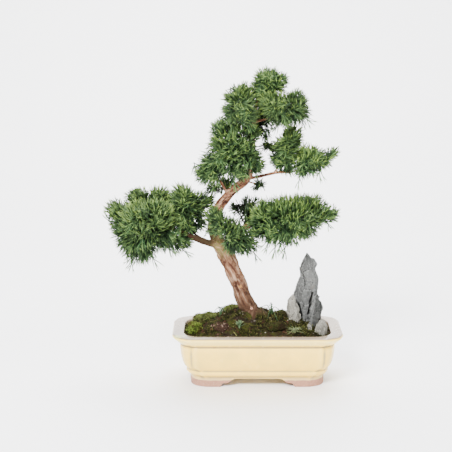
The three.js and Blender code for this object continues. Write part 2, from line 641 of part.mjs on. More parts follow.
// Woody plant, stones and weeds, each in its own hole in the soil
const wood = makeWood();
const woodHole = makeWood(GAP);
const bareSoil = makeSoil();
const weeds = Object.entries(WEEDS).map(([name, weed]) => [name, makeWeed(weed)]);
const holes = [woodHole];
for (const rock of Object.values(ROCKS)) {
  holes.push(makeRock(rock, GAP));
}
for (const { at: [x, y] } of Object.values(WEEDS)) {
  const foot = ground(x, y);
  holes.push(upright(WEED_STEM[0] + GAP, foot - WEED_DEPTH - GAP, foot + WEED_DEPTH, 8, x, y));
}
for (const x of [-DRAIN_X, DRAIN_X]) {
  const side = SCREEN_SIDE + 2 * GAP;
  const pocket = new THREE.BoxGeometry(side, side, 2 * (SCREEN_THICK + GAP));
  holes.push(solidOf(pocket.translate(x, 0, POT_FLOOR + GAP)));
}
addPiece('soil', bareSoil.subtract(joined(holes)), COLOURS.soil, 0.95);
addPiece('trunk_and_branches', wood, COLOURS.bark, 0.85);
for (const [name, rock] of Object.entries(ROCKS)) {
  addPiece(name, makeRock(rock), COLOURS.rock, 0.8);
}
for (const [name, cushion] of Object.entries(CUSHIONS)) {
  const clear = makeCushion(cushion, bareSoil).subtract(joined(holes));
  const colour = name === 'clay_lump' ? COLOURS.clay : COLOURS.moss;
  addPiece(name, clear, name === 'moss_bright' ? COLOURS.brightMoss : colour, 0.95);
}
for (const [name, weed] of weeds) {
  addPiece(name, weed, COLOURS.weed, 0.7);
}

// Foliage, pad by pad
for (const [pad, solid] of makePads(woodHole)) {
  addPiece(`foliage_${pad}`, solid, COLOURS.leaf, 0.7);
}

// The origin lies under the middle of the whole object's box, on the table
const middleX = new THREE.Box3().setFromObject(group).getCenter(new THREE.Vector3());
group.position.set(-middleX.x, -middleX.y, 0);

export default group;
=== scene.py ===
"""A chinese juniper bonsai in a glazed rectangular pot, with slate stones, moss and small weeds.

Each piece takes the place of one node of the plain model, keeps its form and adds its surface.
Tables are in millimetres about the middle of the pot at the table, with +Z up, +X to the right
and -Y towards the viewer. Objects are in metres.
"""
import itertools
import math

import bpy
import numpy as np
from bpy.props import FloatProperty, FloatVectorProperty, IntProperty, PointerProperty
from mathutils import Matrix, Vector
from mathutils.kdtree import KDTree


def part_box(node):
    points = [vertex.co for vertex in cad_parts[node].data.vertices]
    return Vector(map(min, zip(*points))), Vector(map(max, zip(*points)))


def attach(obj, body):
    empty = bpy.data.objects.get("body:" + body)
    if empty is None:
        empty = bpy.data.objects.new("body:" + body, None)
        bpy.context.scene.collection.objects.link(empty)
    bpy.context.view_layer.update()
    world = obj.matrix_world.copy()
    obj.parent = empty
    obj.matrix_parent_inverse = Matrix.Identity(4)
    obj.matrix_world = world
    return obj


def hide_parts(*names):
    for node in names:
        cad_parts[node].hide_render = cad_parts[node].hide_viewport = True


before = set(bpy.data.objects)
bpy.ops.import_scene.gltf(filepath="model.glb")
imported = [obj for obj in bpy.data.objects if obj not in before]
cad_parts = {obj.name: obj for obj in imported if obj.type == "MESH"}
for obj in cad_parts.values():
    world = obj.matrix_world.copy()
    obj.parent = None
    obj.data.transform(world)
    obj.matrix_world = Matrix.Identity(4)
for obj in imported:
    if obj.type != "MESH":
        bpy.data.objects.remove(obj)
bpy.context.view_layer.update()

bl_info = {
    "name": "Juniper Bonsai",
    "version": (1, 0, 0),
    "blender": (4, 5, 0),
    "location": "3D View > Sidebar > Bonsai",
    "description": "Builds a chinese juniper bonsai with its pot, stones, moss and weeds",
    "category": "Object",
}

MM = 0.001

# Pot: half length and half width over the rim, and rows of inset, height, corner size and
# step of the indented corner, from the foot over the rim and down to the inside floor.
# A corner is longer across the pot than along it, by CORNER_STRETCH.
POT_HALF = (85.3, 48.0)
CORNER_STRETCH = 1.3
POT_ROWS = [
    (18, 9, 14, 1.5), (17.4, 10.8, 13.6, 1.8), (15.2, 11.9, 13.4, 2.4), (13.9, 13.8, 13, 2.6),
    (13.9, 15.6, 13, 2.6), (14.5, 17.1, 13, 2.6), (12, 20.4, 10, 2.8), (9.7, 27, 10.8, 3),
    (8.4, 34, 12.1, 3), (7.8, 41.4, 12.7, 3), (9.1, 43.2, 12.7, 3), (6, 45, 13, 3), (3, 48.4, 13.4, 3),
    (0.7, 50.6, 13.8, 3), (0, 52.2, 14, 3), (0.9, 53.5, 13.8, 3), (2, 54, 13.6, 2.8),
    (11.5, 54, 11, 2.4), (12, 52.4, 11, 2.4), (14, 32, 11.5, 2), (17.5, 17, 11, 1.6),
    (21, 13, 10, 1.2),
]
# Foot ring: inset, corner size and step outside and inside, and the height of its top
FOOT_OUTSIDE = (18, 14, 1.5)
FOOT_INSIDE = (28, 6, 0.5)
FOOT_TOP = 9.0
# Points of a foot ring that are this close to the line of a side belong to that side
SIDE_DEPTH = 1.2
# Gaps between the feet, as distances from the middle of a side and the gap's height there
LONG_GAP = ((23, 25.2, 27, 29.7, 34.3, 36.5, 36.8), (8.6, 7.5, 5.8, 4, 3.6, 2.6, 0))
SHORT_GAP = ((5, 6.2, 7.2, 8.8, 10.8, 12, 12.3), (8.6, 7.5, 5.8, 4, 3.4, 2.6, 0))
# Where glaze gathers, darker as painted shade: in the cove under the rim, under its lip and beside the
# corners
COVE_HEIGHT = 43.8
COVE_WIDTH = 1.5
LIP_HEIGHT = 52.9
LIP_WIDTH = 0.4
CORNER_LINE = (65.4, 26.3)
CORNER_LINE_WIDTH = 1.7
# Heights over which the corners' painted shade line and the painted highlight come and go, and the rim
# comes in
CORNER_LINE_ENDS = ((15, 18), (46, 42))
RIM_HIGHLIGHT_ENDS = ((45.5, 47), (52.4, 51.6))
RIM_START = (52.5, 53.4)
# Marks of the glaze as x, y, height and reach: a green stain on a corner and dark nicks
GLAZE_STAIN = (-79, -38, 51, 11)
GLAZE_NICKS = [(80.4, -36.5, 54, 1.3), (-43.4, -40.2, 43, 1.5), (-41.9, -40.2, 43.4, 1.2)]
# Drain holes: how far they are from the middle, and the radius, heights and sides of their cutter
DRAIN_X = 32.0
DRAIN_RADIUS = 6.0
DRAIN_HEIGHTS = (6, 11, 16)
DRAIN_SIDES = 24
# Points along a corner, a long side and a short side, and how often their ring is softened
CORNER_STEPS = 12
LONG_STEPS = 90
SHORT_STEPS = 36
PLAN_SOFTENING = 4
# The corner's step in a short side, as a share of that in a long side
SHORT_SIDE_STEP = 0.4

# Soil: rows of the inside of the pot that it fills, its edge and its swell to the middle
SOIL_ROWS = [(21.4, 13.3, 10, 1.2), (17.9, 17, 11, 1.6), (14.4, 32, 11.5, 2), (12.4, 50.4, 11, 2.4)]
SOIL_EDGE = 50.4
SOIL_SWELL = 16.0
# Heap round the trunk's foot: height, middle and half widths
HEAP = (7.0, (-12, 6), (24, 20))
# Half length and half width of the surface, and the rings of points from its edge to its middle
SOIL_HALF = (73.3, 36.0)
SOIL_RINGS = 60
# The place at the trunk's foot with little moss, and the distances over which moss comes back
BARE_PLACE = (6, -4)
BARE_REACH = (32, 12)

# Trunk: rows of x, y, z and radius
TRUNK = [
    (3, 0, 50, 9), (-1, 0, 62, 10.4), (-5.5, 0, 69, 9.8), (-11.3, 0, 79, 8.8), (-17.4, 0, 95.4, 7.8),
    (-24.7, 0, 113.5, 8), (-32.8, 0, 131.5, 8.2), (-38.6, 1, 140.5, 7.4), (-42.8, 2, 151.5, 6.4),
    (-43.5, 3, 163.6, 5.7), (-39.5, 4, 175, 5.4), (-27.5, 3, 190.6, 5), (-11.8, 0, 204.8, 4.4),
    (-7.6, 0, 213.5, 3.7), (-5.3, 2, 236.2, 3), (-5.3, 2, 249.1, 2.8), (-2, 0, 276, 2),
    (2.5, 0, 292, 1.2),
]
# Roots: direction in degrees and reach, and rows of share of the reach, height and radius
ROOTS = [(200, 24), (255, 20), (318, 22), (20, 23), (90, 20), (150, 22)]
ROOT_WAY = [(0.15, 70, 5), (0.55, 67, 3.6), (1, 56, 1.8)]
# Branches: first and last radius, and their way
BRANCHES = [
    (4.8, 1.5, [(-33, 1, 136), (-51.5, -1, 141.8), (-67.5, -3, 148.4), (-89.3, -5, 157.9),
                (-114, -10, 167)]),
    (1.7, 1, [(-98, -6, 161), (-119, -1, 164), (-136, -1, 162.5)]),
    (1.7, 1, [(-73, -3, 151), (-82, 10, 157), (-89, 20, 161)]),
    (1.5, 1.1, [(-86, -4, 157), (-94, -6, 155), (-102, -8, 152)]),
    (1.3, 1, [(-63, -2, 147), (-68, -2, 145), (-72, -2, 143)]),
    (1.6, 1, [(-56, -2, 145), (-62, 3, 149), (-68, 5, 153)]),
    (1.8, 1, [(-43, 0, 158), (-46, -13, 167), (-43, -26, 173)]),
    (3, 1.2, [(-41, 4, 151), (-30, 8, 152), (-14, 8, 155), (10, 3, 161), (28, 0, 164.5),
              (44, -3, 165), (53, -4, 167)]),
    (1.6, 1.1, [(-22, 8, 153.5), (-12, 20, 155), (-4, 26, 158)]),
    (1.5, 1.1, [(4, 4, 159.5), (12, 13, 162), (17, 19, 164)]),
    (1.5, 1.1, [(20, 1, 163), (29, 0, 169), (37, 0, 172.5)]),
    (1.3, 1, [(26, 0, 164), (36, -3, 160), (45, -4, 156)]),
    (1.8, 1.1, [(-30, 3, 190), (-38, -3, 204), (-50, -7, 212)]),
    (1.3, 1, [(-25, 3, 195), (-27, 9, 198), (-28, 14, 200)]),
    (1.8, 1.2, [(-18, 1, 202), (-19, -8, 210), (-18, -14, 217)]),
    (1.5, 1.1, [(-7, 1, 219), (-7, -6, 223), (-6, -11, 227)]),
    (1.5, 1.1, [(-5.5, 2, 225), (-10, 13, 228), (-15, 21, 230)]),
    (1.8, 1.1, [(-5, 2, 251), (-13, -7, 263), (-22, -11, 271)]),
    (1.4, 1, [(-5, 1.5, 254), (-3, 9, 256), (-2, 17, 257)]),
    (1.6, 1.1, [(-4, 1, 262), (10, -5, 266), (21, -9, 269.5)]),
    (2.1, 1.1, [(-14, 0, 205), (3.5, 0, 208.6), (19.5, 0, 212), (33, -1, 213), (42, -5, 216)]),
    (1.2, 0.9, [(17, 0, 211.5), (19, 1, 217), (20, 2, 223)]),
    (1.2, 0.9, [(29, -0.5, 212.7), (32, 9, 221), (33, 17, 231)]),
    (1.1, 0.8, [(-13, 0, 204), (-6, 6, 201), (-1, 9, 199)]),
]

# Thickness of branches as a share of the plain solid's
TWIG_THINNING = 0.85

# The green fork, and the distances from it over which its film thins out
FORK = (-38, -2, 147)
FORK_REACH = (9, 26)
# Marks of the bark as x, y, height and reach: the shaded left branch, the foot darkened by moss and
# painted shade, and the pale scars with their colours
BRANCH_SHADOW = (-62, -2, 146, 26)
MOSS_AND_SHADE_AT_FOOT = (8, -4, 58, 22)
BARK_SCARS = [((-5.6, -9.5, 76.5, 3.4), (0.6, 0.32, 0.22)), ((-17, -7.4, 97.5, 3.2), (0.3, 0.14, 0.04))]

# Bark is young and orange between these heights, and half as much on twigs of these radii
YOUNG_START = (158, 182)
YOUNG_END = (222, 260)
YOUNG_RADII = (2.6, 1.8)

# Step along the wood, how far bark's patterns are drawn out along it, and their twist in radians
# for each millimetre
WOOD_STEP = 0.8
FIBRE_SHARE = 0.22
BARK_TWIST = 0.012

# Sides of the tubes, and how much a branch swells at its start and over what length
TRUNK_SIDES = 44
BRANCH_SIDES = 16
FLARE_SHARE = 0.35
FLARE_LENGTH = 3.5

# Foliage: for each pad its light, from 0 in deep shade to 1, and its lobes as middle and reach
PADS = {
    "left_front": (0.45, [
        (-142, 4, 175, 12), (-137, -2, 160, 13), (-117, -16, 169, 19), (-97, -18, 174, 16),
        (-104, -8, 151, 16), (-125, -4, 141, 16), (-114, -10, 132, 12), (-87, -8, 146, 13),
        (-73, -2, 142, 10)]),
    "left_back": (0.33, [
        (-122, 12, 184, 13), (-97, 20, 183, 15), (-90, 24, 162, 15), (-114, 22, 159, 17)]),
    "left_inner": (0.45, [
        (-49, 11, 183, 9), (-61, 8, 178, 13), (-76, 2, 188, 15), (-79, -4, 167, 15),
        (-69, 6, 153, 10), (-56, 9, 159, 8)]),
    "centre": (0.42, [
        (-43, -28, 174, 11), (-45, -16, 159, 8), (-32, -30, 164, 12), (-20, -26, 154, 13),
        (-23, -27, 142, 10), (-7, -25, 143, 10)]),
    "right_front": (0.7, [
        (7, -8, 173, 15), (24, -4, 176, 16), (40, 0, 175, 16), (55, 4, 179, 13), (74, 2, 171, 10),
        (55, -4, 167, 13), (37, -14, 162, 15), (47, -4, 155, 12), (29, -8, 148, 11),
        (14, -18, 154, 14), (-1, -14, 156, 11)]),
    "right_back": (0.28, [(18, 22, 164, 15), (37, 24, 167, 15)]),
    "low_back": (0.2, [(-24, 27, 172, 8), (-13, 30, 171, 11), (-4, 26, 177, 11), (-5, 28, 158, 13)]),
    "upper_left": (0.65, [
        (-51, -8, 213, 14), (-44, -5, 224, 12), (-31, -12, 228, 17), (-36, -8, 243, 14),
        (-37, -3, 258, 11), (-22, -9, 256, 11), (-6, -13, 254, 10), (-15, -15, 242, 14),
        (-6, -14, 228, 12), (-18, -16, 219, 14), (1, -8, 219, 9)]),
    "upper_back": (0.25, [(-16, 24, 230, 15)]),
    "upper_dark": (0.2, [(-29, 16, 200, 11), (-46, 10, 194, 9)]),
    "crown_left": (0.38, [
        (-22, -6, 286, 13), (-14, -5, 291, 13), (-24, -12, 272, 14), (-12, -20, 273, 15)]),
    "crown_top": (0.68, [(9, 0, 305, 14), (21, -4, 303, 11), (4, 2, 290, 15)]),
    "crown_right": (0.34, [
        (37, 0, 284, 13), (39, -2, 273, 15), (24, -10, 270, 14), (13, -16, 282, 15)]),
    "crown_back": (0.28, [(5, 8, 250, 9), (-2, 20, 257, 14), (8, 22, 274, 16), (34, 20, 276, 13)]),
    "right_mid": (0.5, [(35, 2, 249, 12.5), (28, -4, 234, 15), (20, 2, 225, 11), (31, -2, 217, 8)]),
    "right_mid_back": (0.28, [(33, 20, 234, 13), (9, 13, 238, 8), (20, 16, 236, 8)]),
    "right_mid_tip": (0.8, [(45, -6, 216, 11), (48, -2, 229, 14), (60, 2, 224, 13), (76, 0, 233, 7)]),
    "under_tuft": (0.28, [(1, 10, 199, 8)]),
}

# Weeds: slot, foot, height, number of leaves, reach, rise, width, droop and bare share of the stem
WEEDS = {
    "seedling": ("weed", (-37, -3), 10, 14, 8.5, 0.25, 0.5, 0.0, 0.8),
    "moss_sprig": ("grass", (-18.5, -25), 5, 20, 8.5, 0.9, 0.6, 0.15, 0.1),
    "dark_weed": ("weed", (14, -4), 13, 16, 4.0, 0.3, 1.1, 0.1, 0.3),
    "grass_tuft": ("grass", (36, -28), 4, 36, 14.0, 0.4, 0.32, 0.3, 0.1),
}
# Bare stems that arch from a weed's foot: where each ends, from the foot
RUNNERS = {
    "dark_weed": [(-11, -4, 9), (-4, -12, -1), (9, -5, 6), (6, -14, -2)],
    "seedling": [(5, -4, 6), (-6, -3, 7)],
}
# Radius of a weed's stem at its foot and at its top
WEED_STEM = (0.8, 0.4)

# How straw-coloured the leaves of a weed are, from 0 to 1
STRAW = {"grass_tuft": 0.85}

# Turn from one leaf or side shoot to the next, in radians
LEAF_TURN = 2.4

# Foliage is built of copies of a few sprays of some lengths, whose threads have a few sides
SPRAY_LENGTHS = (13, 16, 19, 22)
SPRAYS_OF_A_LENGTH = 6
THREAD_SIDES = 3
# Shortest and longest spray in a pad, and how near each other lobes are that a twig joins
SPRAY_LIMITS = (12, 22)
TWIG_REACH = 20

# Layers of sprays in a pad: how far out their tips are and their distance apart
DEPTHS = ((1.1, 2.0), (0.95, 0.95), (0.7, 0.82), (0.44, 0.85))

# Share of dead brown sprays, and the light below which a pad is in shade
DEAD_SHARE = 0.0015
DEEP_SHADE = 0.3

# How much further apart the sprays of deep shade stand
SHADE_SPACING = 1.5

# Gaps between lobes that get a filler, as shares of both reaches, and the filler's size
FILLED_GAP = (0.5, 0.95)
FILLER_SIZE = 0.72

# How much sprays at the front and back of a pad stand out, and how far they bend aside
FLATNESS = 0.5
SIDEWAYS = 0.5

# How sharply lobes are told apart: a lower number melts them together
LOBE_BLEND = 1.6

# Stones: slot, size of the surface's cells and tone
ROCKS = {
    "rock_tall": ("slate", 0.7, 0.9), "rock_left": ("slate_pale", 0.55, 1.0),
    "rock_right": ("slate", 0.55, 0.3), "rock_low": ("slate_pale", 0.5, 0.9),
    "rock_chip": ("slate_pale", 0.4, 0.9),
}

# Deep splits in the front of a stone, cut in and painted dark as shade, as lines of x and height
SPLITS = {
    "rock_tall": [
        [(56.6, 87), (55, 80), (52.6, 66)], [(49.4, 127), (46.6, 123), (44.6, 117)],
        [(42.6, 76), (44.8, 64)],
    ],
}
SPLIT_REACH = 1.9
SPLIT_DEPTH = 1.6

# Height of a stone above which its faces are split at full depth
FULL_SPLIT_HEIGHT = 70

# Moss cushions: slot, number of fronds and how much lighter than others they are
CUSHIONS = {
    "moss_bright": ("moss_bright", 2600, 0), "moss_left": ("moss_dark", 3800, 0.18),
    "moss_middle": ("moss_dark", 2200, 0.24), "moss_right": ("moss_dark", 1700, -0.25),
    "moss_front": ("moss_dark", 2200, -0.3),
}

# Seeds of the random draws, each the first of its kind where there are several pieces
SEEDS = {"soil": 5, "sprays": 7, "soil_moss": 8, "rocks": 30, "cushions": 50, "weeds": 80, "pads": 200}

# Stage: where the camera aims, as x and height, and its lens
CAMERA_AIM = (-31.5, 158)
LENS = 103.54

# Lights: place and target in metres, size and power
LIGHTS = {
    "key_light": ((-0.7, -1.7, 1.5), (0, 0, 0.15), 0.8, 185),
    "fill_light": ((1.3, -1.2, 0.9), (0, 0, 0.15), 1.4, 27),
    "top_light": ((0.1, 0.3, 2.0), (0, 0, 0.1), 1.2, 32),
    "wall_light": ((0, 0.8, 1.6), (0, 1.2, 0.1), 1.4, 75),
}
SKY_COLOUR = (0.97, 0.98, 1, 1)
SKY_STRENGTH = 0.65

# Floor and wall: half width, front edge, where the floor turns up, its bend and the wall's top
FLOOR_HALF = 4000
FLOOR_FRONT = -3000
BEND_START = 900
BEND_RADIUS = 500
BEND_STEPS = 12
WALL_TOP = 3500


# Settings

class PotSettings(bpy.types.PropertyGroup):
    """Glaze and clay of the pot."""
    glaze: FloatVectorProperty(
        name="Glaze", description="Cream glaze", default=(1.0, 0.66, 0.09),
        subtype="COLOR", min=0, max=1)
    # Gathered glaze that also paints the shade in hollows and along the painted shade lines
    thick_glaze_and_shade: FloatVectorProperty(
        name="Thick Glaze", description="Glaze where it gathers in hollows",
        default=(0.36, 0.27, 0.11), subtype="COLOR", min=0, max=1)
    # Painted reflection on top of the rim, a darker glaze colour that the inside also takes
    painted_rim_reflection: FloatVectorProperty(
        name="Rim Glaze", description="Dull glaze on top of the rim and inside",
        default=(0.17, 0.14, 0.134), subtype="COLOR", min=0, max=1)
    clay: FloatVectorProperty(
        name="Clay", description="Bare clay of the feet", default=(0.4, 0.2, 0.13),
        subtype="COLOR", min=0, max=1)
    glaze_edge: FloatProperty(
        name="Glaze Edge", description="Height where the glaze ends", default=0.0068, unit="LENGTH")


class SoilSettings(bpy.types.PropertyGroup):
    """Grains and thin moss of the soil."""
    grains: IntProperty(name="Grains", description="Number of loose grains", default=700)
    grain_size: FloatProperty(
        name="Grain Size", description="Radius of a middling grain", default=0.0009, unit="LENGTH")
    fronds: IntProperty(name="Fronds", description="Number of thin moss fronds", default=11000)
    stalks: IntProperty(
        name="Stalks", description="Number of thin stalks over the soil", default=260)
    colour: FloatVectorProperty(
        name="Soil", description="Damp soil", default=(0.0075, 0.0052, 0.0032),
        subtype="COLOR", min=0, max=1)


class WoodSettings(bpy.types.PropertyGroup):
    """Bark of the trunk and branches."""
    fineness: FloatProperty(
        name="Fineness", description="Size of the surface's cells", default=0.00068, unit="LENGTH")
    furrow: FloatProperty(
        name="Furrow", description="Depth of a furrow as a share of the radius", default=0.15)
    ridge: FloatVectorProperty(
        name="Ridge", description="Tan bark plates", default=(0.195, 0.098, 0.056),
        subtype="COLOR", min=0, max=1)
    # Dark bark in furrows, which also paints the shade deep in them
    hollow: FloatVectorProperty(
        name="Hollow", description="Dark furrows", default=(0.035, 0.013, 0.008),
        subtype="COLOR", min=0, max=1)
    young: FloatVectorProperty(
        name="Young Bark", description="Orange bark of the upper trunk", default=(0.27, 0.115, 0.06),
        subtype="COLOR", min=0, max=1)
    algae: FloatVectorProperty(
        name="Algae", description="Green film at the fork", default=(0.13, 0.12, 0.035),
        subtype="COLOR", min=0, max=1)


class RockSettings(bpy.types.PropertyGroup):
    """Split faces of the slate stones."""
    ledge: FloatProperty(
        name="Ledge", description="Height of the small ledges", default=0.0006, unit="LENGTH")
    facets: IntProperty(name="Facets", description="Number of split faces", default=46)
    dark: FloatVectorProperty(
        name="Dark Slate", description="Tall and right stones", default=(0.068, 0.069, 0.066),
        subtype="COLOR", min=0, max=1)
    pale: FloatVectorProperty(
        name="Pale Slate", description="Left and low stones", default=(0.115, 0.11, 0.093),
        subtype="COLOR", min=0, max=1)


class MossSettings(bpy.types.PropertyGroup):
    """Fronds of the moss cushions and the lump of old clay."""
    frond: FloatProperty(
        name="Frond", description="Height of a frond", default=0.0022, unit="LENGTH")
    bright: FloatVectorProperty(
        name="Bright Moss", description="Yellow-green moss", default=(0.075, 0.105, 0.018),
        subtype="COLOR", min=0, max=1)
    dark: FloatVectorProperty(
        name="Dark Moss", description="Olive moss", default=(0.04, 0.048, 0.014),
        subtype="COLOR", min=0, max=1)
    clay: FloatVectorProperty(
        name="Old Clay", description="Brown lump", default=(0.022, 0.012, 0.008),
        subtype="COLOR", min=0, max=1)


class WeedSettings(bpy.types.PropertyGroup):
    """Leaves of the small weeds."""
    dark: FloatVectorProperty(
        name="Weed", description="Dark leaves", default=(0.02, 0.05, 0.015),
        subtype="COLOR", min=0, max=1)
    pale: FloatVectorProperty(
        name="Grass", description="Pale leaves", default=(0.09, 0.15, 0.07),
        subtype="COLOR", min=0, max=1)


class FoliageSettings(bpy.types.PropertyGroup):
    """Sprays of scale leaves."""
    thread: FloatProperty(
        name="Thread", description="Radius of a leafy thread", default=0.00054, unit="LENGTH")
    spacing: FloatProperty(
        name="Spacing", description="Distance between the tips of sprays", default=0.0064,
        unit="LENGTH")
    twig: FloatVectorProperty(
        name="Twig", description="Woody foot of a spray", default=(0.034, 0.026, 0.013),
        subtype="COLOR", min=0, max=1)
    shade: FloatVectorProperty(
        name="Shade", description="Leaves inside a pad", default=(0.018, 0.043, 0.019),
        subtype="COLOR", min=0, max=1)
    leaf: FloatVectorProperty(
        name="Leaf", description="Leaves halfway out", default=(0.075, 0.152, 0.052),
        subtype="COLOR", min=0, max=1)
    tip: FloatVectorProperty(
        name="Tip", description="Young tips", default=(0.3, 0.46, 0.13),
        subtype="COLOR", min=0, max=1)


class StageSettings(bpy.types.PropertyGroup):
    """Camera, floor and lights."""
    distance: FloatProperty(
        name="Distance", description="Camera to the tree", default=1.3, unit="LENGTH")
    elevation: FloatProperty(
        name="Elevation", description="Camera above the horizon", default=math.radians(10.5),
        unit="ROTATION")
    floor: FloatVectorProperty(
        name="Floor", description="Pale floor and wall", default=(0.88, 0.88, 0.89),
        subtype="COLOR", min=0, max=1)


# Numbers that look random but come out the same each time

def lattice(cells, seed):
    """A value from -1 to 1 for each row of whole numbers."""
    x, y, z = cells.astype(np.int64).T
    mixed = (x * 374761393 + y * 668265263 + z * 1274126177 + seed * 97531) & 0xFFFFFFFF
    mixed = ((mixed ^ (mixed >> 13)) * 1103515245) & 0xFFFFFFFF
    return ((mixed ^ (mixed >> 16)) & 0xFFFF) / 32767.5 - 1


def noise(points, size, seed):
    """Smooth noise from -1 to 1 with features of about a size."""
    scaled = points / size
    cells = np.floor(scaled)
    share = scaled - cells
    share = share * share * (3 - 2 * share)
    total = np.zeros(len(points))
    for corner in itertools.product((0, 1), repeat=3):
        weight = np.prod(np.where(corner, share, 1 - share), axis=1)
        total += weight * lattice(cells + corner, seed)
    return total


def unit(vectors):
    """Rows scaled to length one."""
    length = np.linalg.norm(vectors, axis=-1, keepdims=True)
    return vectors / np.maximum(length, 1e-9)


def smoothstep(value, low, high):
    """From 0 at low to 1 at high, with soft ends."""
    share = np.clip((value - low) / (high - low), 0, 1)
    return share * share * (3 - 2 * share)


# Meshes

def pot_middle():
    """The middle of the pot at the table, in metres."""
    low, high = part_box("pot")
    return np.array([(low.x + high.x) / 2, (low.y + high.y) / 2, 0.0])


def merged(shells):
    """Points and triangles of several shells as one."""
    counts = np.cumsum([0] + [len(points) for points, _ in shells])
    return (np.concatenate([points for points, _ in shells]),
            np.concatenate([faces + first for (_, faces), first in zip(shells, counts)]))


def new_object(name, points, faces):
    """A smooth mesh object from points in millimetres and triangles."""
    mesh = bpy.data.meshes.new(name)
    mesh.vertices.add(len(points))
    mesh.vertices.foreach_set("co", (points * MM + pot_middle()).astype(np.float32).ravel())
    mesh.loops.add(faces.size)
    mesh.loops.foreach_set("vertex_index", faces.astype(np.int32).ravel())
    mesh.polygons.add(len(faces))
    mesh.polygons.foreach_set("loop_start", np.arange(0, faces.size, 3, dtype=np.int32))
    mesh.polygons.foreach_set("use_smooth", np.ones(len(faces), bool))
    mesh.update(calc_edges=True)
    mesh.validate()
    obj = bpy.data.objects.new(name, mesh)
    bpy.context.scene.collection.objects.link(obj)
    return obj


def points_of(obj):
    """An object's points in millimetres about the pot's middle."""
    flat = np.empty(3 * len(obj.data.vertices), np.float32)
    obj.data.vertices.foreach_get("co", flat)
    return (flat.reshape(-1, 3) - pot_middle()) / MM


def normals_of(obj):
    """The surface's directions at an object's points."""
    flat = np.empty(3 * len(obj.data.vertices), np.float32)
    obj.data.vertex_normals.foreach_get("vector", flat)
    return flat.reshape(-1, 3).astype(float)


def triangles_of(obj):
    """An object's surface as triangles."""
    obj.data.calc_loop_triangles()
    flat = np.empty(3 * len(obj.data.loop_triangles), np.int32)
    obj.data.loop_triangles.foreach_get("vertices", flat)
    return flat.reshape(-1, 3)


def move_points(obj, points):
    """Puts an object's points at new places, in millimetres."""
    obj.data.vertices.foreach_set("co", (points * MM + pot_middle()).astype(np.float32).ravel())
    obj.data.update()


def paint(obj, name, *channels):
    """Stores up to three values for each point under a name that a material reads."""
    colours = np.zeros((len(obj.data.vertices), 4), np.float32)
    colours[:, 3] = 1
    for index, values in enumerate(channels):
        colours[:, index] = values
    layer = obj.data.color_attributes.new(name, "FLOAT_COLOR", "POINT")
    layer.data.foreach_set("color", colours.ravel())


def applied(obj):
    """The object with its modifiers made part of its mesh."""
    graph = bpy.context.evaluated_depsgraph_get()
    mesh = bpy.data.meshes.new_from_object(obj.evaluated_get(graph))
    obj.modifiers.clear()
    old, obj.data = obj.data, mesh
    bpy.data.meshes.remove(old)
    mesh.name = obj.name
    mesh.polygons.foreach_set("use_smooth", np.ones(len(mesh.polygons), bool))
    mesh.update()
    return obj


def remeshed(obj, cell):
    """The object as one closed skin of cells of a size in metres."""
    modifier = obj.modifiers.new("Skin", "REMESH")
    modifier.mode = "VOXEL"
    modifier.voxel_size = cell
    return applied(obj)


def fine_copy(node, cell):
    """A finer copy of a node of the plain model."""
    obj = bpy.data.objects.new(f"{node}_fine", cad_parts[node].data.copy())
    obj.data.materials.clear()
    bpy.context.scene.collection.objects.link(obj)
    return remeshed(obj, cell)


def edges_of(obj):
    """Both ends of each edge."""
    flat = np.empty(2 * len(obj.data.edges), np.int32)
    obj.data.edges.foreach_get("vertices", flat)
    return flat.reshape(-1, 2).T


def neighbours(ends, count):
    """How many neighbours each of a number of points has."""
    first, second = ends
    return np.maximum(np.bincount(first, minlength=count) + np.bincount(second, minlength=count), 1)


def spread(values, ends, times):
    """Values averaged with those of the neighbours, a few times."""
    first, second = ends
    count = neighbours(ends, len(values))
    for _ in range(times):
        total = np.bincount(first, values[second], len(values))
        total += np.bincount(second, values[first], len(values))
        values = 0.5 * values + 0.5 * total / count
    return values


def relaxed(obj, times):
    """The object with its points drawn towards their neighbours."""
    points = points_of(obj)
    ends = edges_of(obj)
    move_points(obj, np.stack([spread(points[:, axis], ends, times) for axis in range(3)], axis=1))
    return obj


def convexity(obj, times=2):
    """How far each point stands proud of its neighbours: above 0 on edges, below in hollows."""
    points, normals = points_of(obj), normals_of(obj)
    first, second = ends = edges_of(obj)
    way = unit(points[second] - points[first])
    fall = np.bincount(first, -(way * normals[first]).sum(1), len(points))
    fall += np.bincount(second, (way * normals[second]).sum(1), len(points))
    return spread(fall / neighbours(ends, len(points)), ends, times)


def grid_faces(rows, columns, closed=True):
    """Triangles between rows of points; closed joins each row's last point to its first."""
    column = np.arange(columns if closed else columns - 1)
    row = np.arange(rows - 1)[:, None]
    here, beside = row * columns + column, row * columns + (column + 1) % columns
    one = np.stack([here, beside, beside + columns], axis=-1).reshape(-1, 3)
    two = np.stack([here, beside + columns, here + columns], axis=-1).reshape(-1, 3)
    return np.concatenate([one, two])


def capped(rings):
    """A closed shell from rings of points, with a fan over each end."""
    rows, columns = rings.shape[:2]
    points = np.concatenate([rings.reshape(-1, 3), rings[0].mean(0)[None], rings[-1].mean(0)[None]])
    around = np.arange(columns)
    after = (around + 1) % columns
    low, high = rows * columns, rows * columns + 1
    last = (rows - 1) * columns
    first_fan = np.stack([np.full(columns, low), after, around], axis=1)
    last_fan = np.stack([np.full(columns, high), last + around, last + after], axis=1)
    return points, np.concatenate([grid_faces(rows, columns), first_fan, last_fan])


